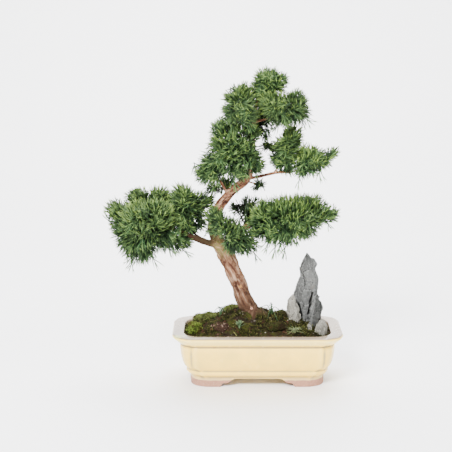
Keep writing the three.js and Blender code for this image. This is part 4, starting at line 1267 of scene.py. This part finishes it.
def bark_relief(seed, furrow):
    """A function that gives the bark's relief along and round a stretch of wood."""
    def relief(walked, angles, radii):
        length, angle = np.meshgrid(walked, angles, indexing="ij")
        radius = np.repeat(radii[:, None], len(angles), axis=1)
        twist = angle + length * BARK_TWIST
        x, y = radius * np.cos(twist), radius * np.sin(twist)
        places = np.stack([x, y, FIBRE_SHARE * length], axis=-1)
        flat = places.reshape(-1, 3) + (0, 0, 40 * seed)
        furrows = (1 - np.abs(noise(flat, 2.7, 10))) ** 5
        plates = noise(flat * (1, 1, 2.2), 5.2, 11)
        flakes = np.round(2 * noise(flat, 3.6, 12)) / 2
        ragged = np.abs(noise(flat * (1, 1, 3), 2.6, 14))
        height = 0.9 * plates + 0.55 * flakes - 1.5 * furrows + 0.3 * noise(flat, 1.1, 13)
        height = height + 0.9 * ragged - 0.25
        return furrow * radius * height.reshape(radius.shape)
    return relief


def wood_shells(paths, furrow):
    """A barked tube for each stretch of wood; branches swell where they leave theirs."""
    shells = []
    for number, path in enumerate(paths):
        sides = TRUNK_SIDES if number == 0 else BRANCH_SIDES
        flare = np.zeros(len(path))
        if number > len(ROOTS):
            walked = np.arange(len(path)) * WOOD_STEP
            flare = FLARE_SHARE * path[:, 3] * np.exp(-walked / FLARE_LENGTH)
            path[:, 3] *= TWIG_THINNING
        grown = path + np.column_stack([np.zeros((len(path), 3)), flare])
        shells.append(tube(grown, sides, bark_relief(number, furrow)))
    return shells


def nearest_rows(points, samples):
    """The nearest row of x, y, z and radius to each point, as its number, and how far away it is."""
    tree = KDTree(len(samples))
    for index, row in enumerate(samples):
        tree.insert(row[:3], index)
    tree.balance()
    found = [tree.find(point) for point in points]
    return np.array([index for _, index, _ in found]), np.array([distance for _, _, distance in found])


def paint_bark(obj, paths, furrow):
    """Stores the bark's relief, its age, its green film and a place that runs with the fibre."""
    points = points_of(obj)
    samples = np.concatenate(paths)
    nearest, away = nearest_rows(points, samples)
    radius = samples[nearest, 3]
    # How far a point lies below the bark's plates, which the material paints dark as bark and painted
    # shade
    relief = np.clip(0.5 + (away - radius) / (4.5 * furrow * np.maximum(radius, 1.5)), 0, 1)
    height = points[:, 2]
    young = smoothstep(height, *YOUNG_START) * (1 - smoothstep(height, *YOUNG_END))
    young = np.maximum(young, 0.5 * smoothstep(radius, *YOUNG_RADII))
    fork = np.linalg.norm((points - FORK) * (0.75, 1, 1), axis=1)
    paint(obj, "bark", relief, young, 1 - smoothstep(fork, *FORK_REACH))
    tangents = np.concatenate([unit(np.gradient(path[:, :3], axis=0)) for path in paths])[nearest]
    walked = np.concatenate([WOOD_STEP * np.arange(len(path)) for path in paths])[nearest]
    offset = points - samples[nearest, :3]
    forward = (offset * tangents).sum(1)
    fibre = offset - forward[:, None] * tangents
    fibre = fibre + np.outer(FIBRE_SHARE * (walked + forward), (0, 0, 1))
    paint(obj, "fibre", *(MM * fibre).T)


def make_wood(settings):
    """Trunk, roots and branches as one skin, with furrowed bark."""
    paths = [curve_path(rows, WOOD_STEP) for rows in branch_rows()]
    shells = wood_shells(paths, settings.furrow)
    obj = remeshed(new_object("wood_barked", *merged(shells)), settings.fineness)
    paint_bark(obj, paths, settings.furrow)
    carry(obj, "trunk_and_branches", bark_material(settings))


# Stones

def split_faces(points, count, random):
    """How far each point stands out on split faces, and a number from 0 to 1 for its face."""
    seeds = points[random.choice(len(points), count, replace=False)]
    tilts = random.normal(0, 0.13, (count, 3))
    offsets = random.uniform(-0.7, 0.7, count)
    away = (points[:, None] - seeds) * (1, 1, 0.5)
    nearest = np.argmin((away ** 2).sum(2), axis=1)
    lean = ((points - seeds[nearest]) * tilts[nearest]).sum(1)
    return np.clip(lean, -1.6, 1.6) + offsets[nearest], random.random(count)[nearest]


def line_nearness(points, lines, reach):
    """From 1 on lines that are drawn on the front to 0 at a distance from them."""
    flat = points[:, ::2]
    nearest = np.full(len(flat), 2 * reach)
    for line in lines:
        for start, end in zip(np.array(line[:-1]), np.array(line[1:])):
            way = end - start
            share = np.clip((flat - start) @ way / (way @ way), 0, 1)
            nearest = np.minimum(nearest, np.linalg.norm(flat - start - share[:, None] * way, axis=1))
    return 1 - smoothstep(nearest, 0.3 * reach, reach)


def make_rock(node, slot, cell, tone, settings):
    """A slate stone of split faces with chips, cracks, rubbed edges, painted shade and a painted lit
    side.
    """
    obj = fine_copy(node, cell * MM)
    points, normals = points_of(obj), normals_of(obj)
    seed = SEEDS["rocks"] + list(ROCKS).index(node)
    random = np.random.default_rng(seed)
    bent = points + 1.2 * np.stack([noise(points, 9, seed + axis) for axis in range(3)], axis=1)
    size = min(1, np.ptp(points[:, 2]) / FULL_SPLIT_HEIGHT)
    push, facet = split_faces(bent, round(settings.facets * size) + 6, random)
    chips = np.round(2.5 * noise(points * (1, 1, 0.6), 4, seed + 4)) / 2.5
    ledges = settings.ledge / MM * (chips + 0.5 * noise(points, 1.6, seed + 5))
    push = (0.5 + 0.5 * size) * push + ledges
    push = np.where(points[:, 2] > points[:, 2].max() - 3, 0.3 * push, push)
    # Splits are cut in, and painted dark as shade
    split = line_nearness(points, SPLITS.get(node, []), SPLIT_REACH) * (normals[:, 1] < 0.3)
    push = push - SPLIT_DEPTH * split
    move_points(obj, points + normals * push[:, None])
    # Painted light: faces turned to the left, towards the key light, are lighter on the darker stones
    tone_with_lit_side = tone + (1 - tone) * smoothstep(-normals[:, 0], 0.3, 0.75)
    paint(obj, "split", np.clip(0.5 + 1.6 * convexity(obj, 1), 0, 1), facet, tone_with_lit_side * (1 - split))
    tint = settings.pale if slot == "slate_pale" else settings.dark
    carry(obj, node, shared(slot, slate_material, tint))


# Moss

def make_cushion(node, slot, count, lighter, settings):
    """A moss cushion covered all over with short fronds."""
    obj = relaxed(fine_copy(node, 0.8 * MM), 6)
    seed = SEEDS["cushions"] + list(CUSHIONS).index(node)
    points, normals = points_of(obj), normals_of(obj)
    lumps = 1.7 * noise(points, 5.5, seed) + 1.1 * noise(points, 2.6, seed + 1)
    lumps = lumps + 0.5 * noise(points, 1.4, 9)
    move_points(obj, points + normals * (lumps - 1.2)[:, None])
    body = points_of(obj), triangles_of(obj)
    roots, ways = scattered(obj, count, seed, -0.1)
    bpy.data.objects.remove(obj)
    random = np.random.default_rng(seed)
    ways = ways + random.normal(0, 0.75, ways.shape) + (0, 0, 0.3)
    lengths = settings.frond / MM * random.uniform(0.6, 1.6, count)
    fronds, along = spikes(roots - 0.3 * unit(ways), ways, lengths, random.uniform(0.24, 0.42, count))
    made = new_object(f"{node}_fronds", *merged([body, fronds]))
    start = np.zeros(len(body[0]))
    tone = 0.42 + lighter + 0.3 * noise(roots, 4.5, seed + 2) + random.normal(0, 0.25, count)
    tone = np.repeat(np.clip(tone, 0, 1), 4)
    paint(made, "frond", np.concatenate([start, 0.15 + 0.85 * along]), np.concatenate([start, tone]))
    tint = settings.bright if slot == "moss_bright" else settings.dark
    carry(made, node, shared(slot, moss_material, tint))


def make_clay_lump(settings):
    """A crumbling lump of old clay."""
    obj = relaxed(fine_copy("clay_lump", 0.6 * MM), 4)
    points, normals = points_of(obj), normals_of(obj)
    push = 2.2 * noise(points, 5, 70) + 1.3 * noise(points, 2.4, 71) + 0.6 * noise(points, 1.2, 72)
    move_points(obj, points + normals * (push - 0.8)[:, None])
    carry(obj, "clay_lump", clay_material(settings))


# Weeds

def leaf(root, way, length, width, droop):
    """A slim closed leaf that bends down towards its tip."""
    way = unit(np.asarray(way, float)[None])[0]
    across = unit(np.cross(way, (0, 0, 1))[None])[0]
    rings = []
    for t, share in ((0, 0.35), (0.3, 1), (0.65, 0.85), (0.95, 0.25)):
        middle = root + way * length * t - np.array([0, 0, droop * length * t * t])
        up = np.array([0, 0, 0.3 * width * share])
        half = across * width * share
        rings.append([middle - half, middle - up, middle + half, middle + up])
    return capped(np.array(rings))


def make_weed(node, slot, foot, height, leaves, reach, rise, width, droop, bare, settings):
    """A small weed: a stem with leaves all round."""
    seed = SEEDS["weeds"] + list(WEEDS).index(node)
    random = np.random.default_rng(seed)
    x, y = foot
    low = float(ground(x, y))
    top = low + height
    stem = curve_path([(x, y, low - 5, WEED_STEM[0]), (x + 0.4, y, low + height / 2, WEED_STEM[0]),
                       (x, y, top, WEED_STEM[1])], 1)
    shells = [tube(stem, 8)]
    for across, along, rise_to in RUNNERS.get(node, []):
        top_of_arch = (0.35 * across, 0.35 * along, 0.5 * rise_to + 6)
        arch = np.array([(0, 0, -3), top_of_arch, (across, along, rise_to)])
        rows = np.column_stack([arch + (x, y, low), (0.5, 0.4, 0.25)])
        shells.append(tube(curve_path(rows, 1.2), 5))
    tones, chances = [], []
    bare_points = sum(len(points) for points, _ in shells)
    for k in range(leaves):
        angle = LEAF_TURN * k + random.uniform(-0.3, 0.3)
        t = bare + (1 - bare) * k / leaves
        root = np.array([x + 0.2, y, low + height * t])
        way = (math.cos(angle), math.sin(angle), rise + random.uniform(-0.3, 0.3))
        size = reach * random.uniform(0.7, 1.05) * (1 - 0.35 * t)
        shells.append(leaf(root, way, size, width * random.uniform(0.8, 1.1), droop))
        tones.append(np.repeat([0, 0.4, 0.8, 1], 4).tolist() + [0, 1])
        chances.append(np.full(18, random.random()))
    obj = new_object(f"{node}_leafy", *merged(shells))
    start = np.full(bare_points, 0.6)
    straw = STRAW.get(node, 0) * (0.4 + 0.6 * np.concatenate([start, *tones]))
    paint(obj, "leaf", np.concatenate([start, *tones]), np.concatenate([start, *chances]), straw)
    tint = settings.pale if slot == "grass" else settings.dark
    carry(obj, node, shared(slot, weed_material, tint))


# Foliage

def thread(rows, tones):
    """A leafy thread with a pointed tip, as points, triangles and tones."""
    rows = np.asarray(rows, float)
    middles, radii = rows[:, :3], rows[:, 3]
    ways = unit(np.gradient(middles, axis=0))
    side = unit(np.cross(ways, (0.21, 0.93, 0.3)))
    other = np.cross(ways, side)
    sides = THREAD_SIDES
    angles = 2 * math.pi * np.arange(sides) / sides
    around = side[:, None] * np.cos(angles)[:, None] + other[:, None] * np.sin(angles)[:, None]
    rings = middles[:, None] + around * radii[:, None, None]
    count = len(rows) - 1
    points = np.concatenate([rings[:count].reshape(-1, 3), middles[:1], middles[-1:]])
    foot, tip, last = sides * count, sides * count + 1, sides * (count - 1)
    here = np.arange(sides)
    after = (here + 1) % sides
    faces = np.concatenate([
        grid_faces(count, sides), np.stack([last + here, last + after, np.full(sides, tip)], axis=1),
        np.stack([after, here, np.full(sides, foot)], axis=1)])
    return points, faces, np.concatenate([np.repeat(tones[:count], sides), tones[[0, -1]]])


def bent_thread(start, way, length, radius, tones, bend, steps):
    """A thread that starts at a point and bends by a vector, and the points of its middle."""
    t = np.linspace(0, 1, steps + 1)[:, None]
    middles = start + way * length * t + bend * length * t * t
    radii = np.append(np.linspace(radius, 0.9 * radius, steps), 0.1)
    return thread(np.column_stack([middles, radii]), np.interp(t[:, 0], [0, 1], tones)), middles


def spray(random, length, radius):
    """A forked spray that grows up from the origin, with a tone and a chance for each point."""
    up = np.array([0.0, 0.0, 1.0])
    made = []

    def grow(start, way, reach, thick, tones, bend, steps):
        chance = random.random()
        (points, faces, along), line = bent_thread(start, way, reach, thick, tones, bend, steps)
        made.append((points, faces, along + 0.2 * (chance - 0.5), np.full(len(points), chance)))
        return line

    bend = np.append(random.normal(0, 0.07, 2), 0)
    axis = grow(np.zeros(3), up, length, radius, (0, 1), bend, 3)
    sides = 3 if length < 15 else 4
    spin = random.uniform(0, 2 * math.pi)
    for k in range(sides):
        t = 0.1 + 0.44 * k / (sides - 1)
        start = np.array([np.interp(t, np.linspace(0, 1, 4), axis[:, i]) for i in range(3)])
        angle = spin + LEAF_TURN * k + random.normal(0, 0.3)
        lean = math.radians(random.uniform(20, 40))
        out = np.array([math.cos(angle), math.sin(angle), 0])
        way = out * math.sin(lean) + up * math.cos(lean)
        reach = length * (0.98 - t) * random.uniform(0.8, 1.1)
        line = grow(start, way, reach, 0.95 * radius, (0.1 + 0.5 * t, 1), 0.1 * up - 0.1 * out, 2)
        if random.random() < 0.5:
            turn = random.choice((-1, 1))
            fork = unit((way + 0.4 * turn * np.cross(way, out) + 0.22 * turn * out)[None])[0]
            grow(line[1], fork, random.uniform(0.35, 0.5) * reach, 0.9 * radius, (0.55, 1), 0 * out, 2)
    return (*merged([(points, faces) for points, faces, _, _ in made]),
            np.concatenate([along for _, _, along, _ in made]),
            np.concatenate([chance for _, _, _, chance in made]))


def turned(ways, rolls):
    """Turns that bring +Z to each way, after a roll about it."""
    ways = unit(ways)
    side = unit(np.cross(ways, (0.36, 0.48, -0.8)))
    other = np.cross(ways, side)
    cos, sin = np.cos(rolls)[:, None], np.sin(rolls)[:, None]
    return np.stack([side * cos + other * sin, other * cos - side * sin, ways], axis=-1)


def sphere_ways(count, spin):
    """Directions spread evenly over a sphere."""
    height = 1 - 2 * (np.arange(count) + 0.5) / count
    angle = np.arange(count) * math.pi * (3 - math.sqrt(5)) + spin
    flat = np.sqrt(1 - height ** 2)
    return np.column_stack([flat * np.cos(angle), flat * np.sin(angle), height])


def pad_share(points, lobes):
    """How far out in a pad points are, 1 at its outside, and the way out there."""
    away = points[..., None, :] - lobes[:, :3]
    share = np.linalg.norm(away, axis=-1) / lobes[:, 3]
    weight = np.exp(-LOBE_BLEND * share ** 2)
    total = np.maximum(weight.sum(-1), 1e-12)
    way = (weight[..., None] * away).sum(-2)
    return np.sqrt(np.maximum(0, -np.log(total) / LOBE_BLEND)), unit(way)


def spray_places(random, index, lobes, depth, spacing):
    """Tips of the sprays of a lobe at a depth in its pad, with the way that each grows."""
    middle, reach = lobes[index, :3], lobes[index, 3]
    count = round(4 * math.pi * (depth * reach / spacing) ** 2)
    out = unit(sphere_ways(count, random.uniform(0, 6)) + random.normal(0, 0.1, (count, 3)))
    steps = np.linspace(0.3, 2.2, 48) * reach
    shares, _ = pad_share(middle + out[:, None] * steps[:, None], lobes)
    outside = shares > depth
    first = np.argmax(outside, axis=1)
    tips = middle + out * steps[first][:, None]
    nearest = np.argmin(np.linalg.norm(tips[:, None] - lobes[:, :3], axis=2) / lobes[:, 3], axis=1)
    shown = outside.any(axis=1) & (nearest == index)
    _, ways = pad_share(tips, lobes)
    return tips[shown], ways[shown]


def pad_normals(points, lobes):
    """The way out of the egg shape that a whole pad fills, at each point."""
    middle = lobes[:, :3].mean(0)
    spread_out = lobes[:, :3].var(0) + (0.55 * lobes[:, 3].mean()) ** 2
    return unit((points - middle) / spread_out)


def with_fillers(lobes):
    """Lobes, and a smaller one half way between every two neighbours."""
    fillers = []
    for first, second in itertools.combinations(lobes, 2):
        away = np.linalg.norm(first[:3] - second[:3])
        if FILLED_GAP[0] < away / (first[3] + second[3]) < FILLED_GAP[1]:
            middle = 0.5 * (first + second)
            fillers.append([*middle[:3], FILLER_SIZE * middle[3]])
    return np.array([*lobes, *fillers])


def pad_twigs(random, index, lobes, wood):
    """Twigs to a lobe from the nearest wood and from the lobes beside it."""
    middle = lobes[index, :3]
    foot = wood[np.argmin(np.linalg.norm(wood - middle, axis=1))]
    near = [other[:3] for other in lobes[:index] if np.linalg.norm(other[:3] - middle) < TWIG_REACH]
    twigs = []
    for start in [foot] + near:
        sag = 0.5 * (start + middle) + random.normal(0, 1.2, 3)
        twigs.append(tube(curve_path([(*start, 0.8), (*sag, 0.65), (*middle, 0.5)], 3), 5))
    return twigs


def spray_ways(random, tips, ways, lobes):
    """How each spray of a layer grows: out of its lobe and its pad, and little to the front."""
    ways = 0.5 * ways + pad_normals(tips, lobes) + random.normal(0, 0.16, ways.shape)
    aside = unit((ways + random.normal(0, 0.6, ways.shape)) * (1, 0, 1))
    aside = aside * SIDEWAYS * np.abs(ways[:, 1:2])
    return unit(ways * (1, FLATNESS, 1) + aside + (0, 0, 0.1))


def layer_sprays(random, tips, ways, reach, depth, templates):
    """Sprays at the tips of a layer, each as points, triangles, tones and chances."""
    count = len(tips)
    lengths = reach * random.uniform(1.0, 1.4, count) * (1 - 0.2 * np.minimum(ways[:, 2], 0))
    lengths = np.clip(lengths, *SPRAY_LIMITS)
    down = np.maximum(-ways[:, 2] - 0.1, 0)
    hang = (1.5 if depth > 1 else 0.4) * random.random(count) ** 2.2 * down
    stand_out = reach * (random.uniform(-0.14, 0.08, count) + hang)
    roots = tips + ways * (stand_out - lengths)[:, None]
    turns = turned(ways, random.uniform(0, 2 * math.pi, count))
    # Painted light: sprays that face up get higher values, which the material makes lighter and golden
    light_side = 0.16 + 0.22 * ways[:, 2] + 0.3 * random.random(count)
    made = []
    for k in range(count):
        size, sprays = min(templates, key=lambda pair: abs(pair[0] - lengths[k]))
        points, faces, along, chance = sprays[random.integers(len(sprays))]
        placed = points * (lengths[k] / size) @ turns[k].T + roots[k]
        dead = random.random() < DEAD_SHARE
        chance = 0 * chance + 1 if dead else np.clip(light_side[k] + 0.5 * chance, 0, 0.99)
        made.append((placed, faces, along * (0.6 + 0.4 * min(depth, 1)), chance))
    return made


def make_foliage(name, light, lobes, wood, templates, settings):
    """One pad of foliage: twigs from the wood to each lobe and sprays all round them."""
    random = np.random.default_rng(SEEDS["pads"] + list(PADS).index(name))
    lobes = with_fillers(np.array(lobes, float))
    apart = settings.spacing / MM * (SHADE_SPACING if light < DEEP_SHADE else 1)
    made = []
    for index, lobe in enumerate(lobes):
        for points, faces in pad_twigs(random, index, lobes, wood):
            made.append((points, faces, np.zeros(len(points)), np.full(len(points), 0.4)))
        for depth, spacing in DEPTHS:
            tips, ways = spray_places(random, index, lobes, depth, spacing * apart)
            ways = spray_ways(random, tips, ways, lobes)
            made += layer_sprays(random, tips, ways, lobe[3], depth, templates)
    points, faces = merged([shell[:2] for shell in made])
    tones, chances = [np.concatenate(values) for values in list(zip(*made))[2:]]
    obj = new_object(f"sprays_{name}", points, faces)
    shares, _ = pad_share(points, lobes)
    # How far out in its pad each point is, for the painted shade deep inside
    paint(obj, "spray", tones, chances, smoothstep(shares, 0.6, 1.12))
    carry(obj, f"foliage_{name}", foliage_material(f"foliage_{name}", settings, light))


# Stage

def make_backdrop(settings):
    """A floor that curves up into a wall behind."""
    profile = [(FLOOR_FRONT, 0), (BEND_START, 0)]
    for step in range(1, BEND_STEPS + 1):
        angle = math.pi / 2 * step / BEND_STEPS
        profile.append((BEND_START + BEND_RADIUS * math.sin(angle),
                        BEND_RADIUS - BEND_RADIUS * math.cos(angle)))
    profile.append((BEND_START + BEND_RADIUS, WALL_TOP))
    rows = np.array([[(x, y, z) for x in (-FLOOR_HALF, FLOOR_HALF)] for y, z in profile], float)
    obj = new_object("floor", rows.reshape(-1, 3), grid_faces(len(profile), 2, closed=False))
    obj.data.materials.append(floor_material(settings))


def make_light(name, place, target, size, power):
    """A square soft light at a place that faces a target, in metres."""
    data = bpy.data.lights.new(name, "AREA")
    data.size = size
    data.energy = power
    light = bpy.data.objects.new(name, data)
    light.location = place
    light.rotation_euler = (Vector(target) - Vector(place)).to_track_quat("-Z", "Y").to_euler()
    bpy.context.scene.collection.objects.link(light)


def make_lights():
    """Soft studio light from above and from both sides of the camera, and on the wall behind."""
    for name, values in LIGHTS.items():
        make_light(name, *values)
    world = bpy.data.worlds.new("studio")
    world.use_nodes = True
    background = world.node_tree.nodes["Background"]
    background.inputs["Color"].default_value = SKY_COLOUR
    background.inputs["Strength"].default_value = SKY_STRENGTH
    bpy.context.scene.world = world


def make_camera(settings):
    """A camera at the height and distance of a viewer before the pot."""
    data = bpy.data.cameras.new("camera")
    data.sensor_width = 36
    data.lens = LENS
    camera = bpy.data.objects.new("camera", data)
    aim = Vector((CAMERA_AIM[0] * MM + pot_middle()[0], 0, CAMERA_AIM[1] * MM))
    back = Vector((0, -math.cos(settings.elevation), math.sin(settings.elevation)))
    camera.location = aim + back * settings.distance
    camera.rotation_euler = (-back).to_track_quat("-Z", "Y").to_euler()
    bpy.context.scene.collection.objects.link(camera)
    bpy.context.scene.camera = camera


# Operators

class BONSAI_OT_make_pot(bpy.types.Operator):
    """Make the glazed pot and finish its drain screens"""
    bl_idname = "bonsai.make_pot"
    bl_label = "Make Pot"

    def execute(self, context):
        make_pot(context.scene.bonsai_pot)
        material = screen_material()
        for side in ("left", "right"):
            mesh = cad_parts[f"drain_screen_{side}"].data
            mesh.materials.clear()
            mesh.materials.append(material)
        return {"FINISHED"}


class BONSAI_OT_make_soil(bpy.types.Operator):
    """Make the soil with its grains and thin moss"""
    bl_idname = "bonsai.make_soil"
    bl_label = "Make Soil"

    def execute(self, context):
        make_soil(context.scene.bonsai_soil)
        return {"FINISHED"}


class BONSAI_OT_make_wood(bpy.types.Operator):
    """Make the trunk, roots and branches"""
    bl_idname = "bonsai.make_wood"
    bl_label = "Make Wood"

    def execute(self, context):
        make_wood(context.scene.bonsai_wood)
        return {"FINISHED"}


class BONSAI_OT_make_rocks(bpy.types.Operator):
    """Make the slate stones"""
    bl_idname = "bonsai.make_rocks"
    bl_label = "Make Stones"

    def execute(self, context):
        for node, values in ROCKS.items():
            make_rock(node, *values, context.scene.bonsai_rocks)
        return {"FINISHED"}


class BONSAI_OT_make_moss(bpy.types.Operator):
    """Make the moss cushions and the lump of old clay"""
    bl_idname = "bonsai.make_moss"
    bl_label = "Make Moss"

    def execute(self, context):
        for node, values in CUSHIONS.items():
            make_cushion(node, *values, context.scene.bonsai_moss)
        make_clay_lump(context.scene.bonsai_moss)
        return {"FINISHED"}


class BONSAI_OT_make_weeds(bpy.types.Operator):
    """Make the small weeds and the grass"""
    bl_idname = "bonsai.make_weeds"
    bl_label = "Make Weeds"

    def execute(self, context):
        for node, values in WEEDS.items():
            make_weed(node, *values, context.scene.bonsai_weeds)
        return {"FINISHED"}


class BONSAI_OT_make_foliage(bpy.types.Operator):
    """Make every pad of foliage"""
    bl_idname = "bonsai.make_foliage"
    bl_label = "Make Foliage"

    def execute(self, context):
        settings = context.scene.bonsai_foliage
        random = np.random.default_rng(SEEDS["sprays"])
        radius = settings.thread / MM
        templates = [(length, [spray(random, length, radius) for _ in range(SPRAYS_OF_A_LENGTH)])
                     for length in SPRAY_LENGTHS]
        wood = np.concatenate([curve_path(rows, 1.5)[:, :3] for rows in branch_rows()])
        for name, (light, lobes) in PADS.items():
            make_foliage(name, light, lobes, wood, templates, settings)
        return {"FINISHED"}


class BONSAI_OT_make_stage(bpy.types.Operator):
    """Make the floor, the lights and the camera"""
    bl_idname = "bonsai.make_stage"
    bl_label = "Make Stage"

    def execute(self, context):
        settings = context.scene.bonsai_stage
        make_backdrop(settings)
        make_lights()
        make_camera(settings)
        return {"FINISHED"}


# Panel and registration

OPERATORS = (
    BONSAI_OT_make_pot, BONSAI_OT_make_soil, BONSAI_OT_make_wood, BONSAI_OT_make_rocks,
    BONSAI_OT_make_moss, BONSAI_OT_make_weeds, BONSAI_OT_make_foliage, BONSAI_OT_make_stage,
)
SETTINGS = {
    "bonsai_pot": PotSettings, "bonsai_soil": SoilSettings, "bonsai_wood": WoodSettings,
    "bonsai_rocks": RockSettings, "bonsai_moss": MossSettings, "bonsai_weeds": WeedSettings,
    "bonsai_foliage": FoliageSettings, "bonsai_stage": StageSettings,
}


class BONSAI_PT_panel(bpy.types.Panel):
    """Lists the steps that build the bonsai"""
    bl_idname = "BONSAI_PT_panel"
    bl_label = "Juniper Bonsai"
    bl_space_type = "VIEW_3D"
    bl_region_type = "UI"
    bl_category = "Bonsai"

    def draw(self, context):
        for operator in OPERATORS:
            self.layout.operator(operator.bl_idname)


def register():
    """Adds the settings, the operators and the panel."""
    for name, group in SETTINGS.items():
        bpy.utils.register_class(group)
        setattr(bpy.types.Scene, name, PointerProperty(type=group))
    for group in (*OPERATORS, BONSAI_PT_panel):
        bpy.utils.register_class(group)


def unregister():
    """Takes the settings, the operators and the panel away."""
    for group in (BONSAI_PT_panel, *reversed(OPERATORS)):
        bpy.utils.unregister_class(group)
    for name, group in reversed(SETTINGS.items()):
        delattr(bpy.types.Scene, name)
        bpy.utils.unregister_class(group)


def main():
    """Builds every piece."""
    register()
    bpy.ops.bonsai.make_pot()
    bpy.ops.bonsai.make_soil()
    bpy.ops.bonsai.make_wood()
    bpy.ops.bonsai.make_rocks()
    bpy.ops.bonsai.make_moss()
    bpy.ops.bonsai.make_weeds()
    bpy.ops.bonsai.make_foliage()
    bpy.ops.bonsai.make_stage()


if __name__ == "__main__":
    main()
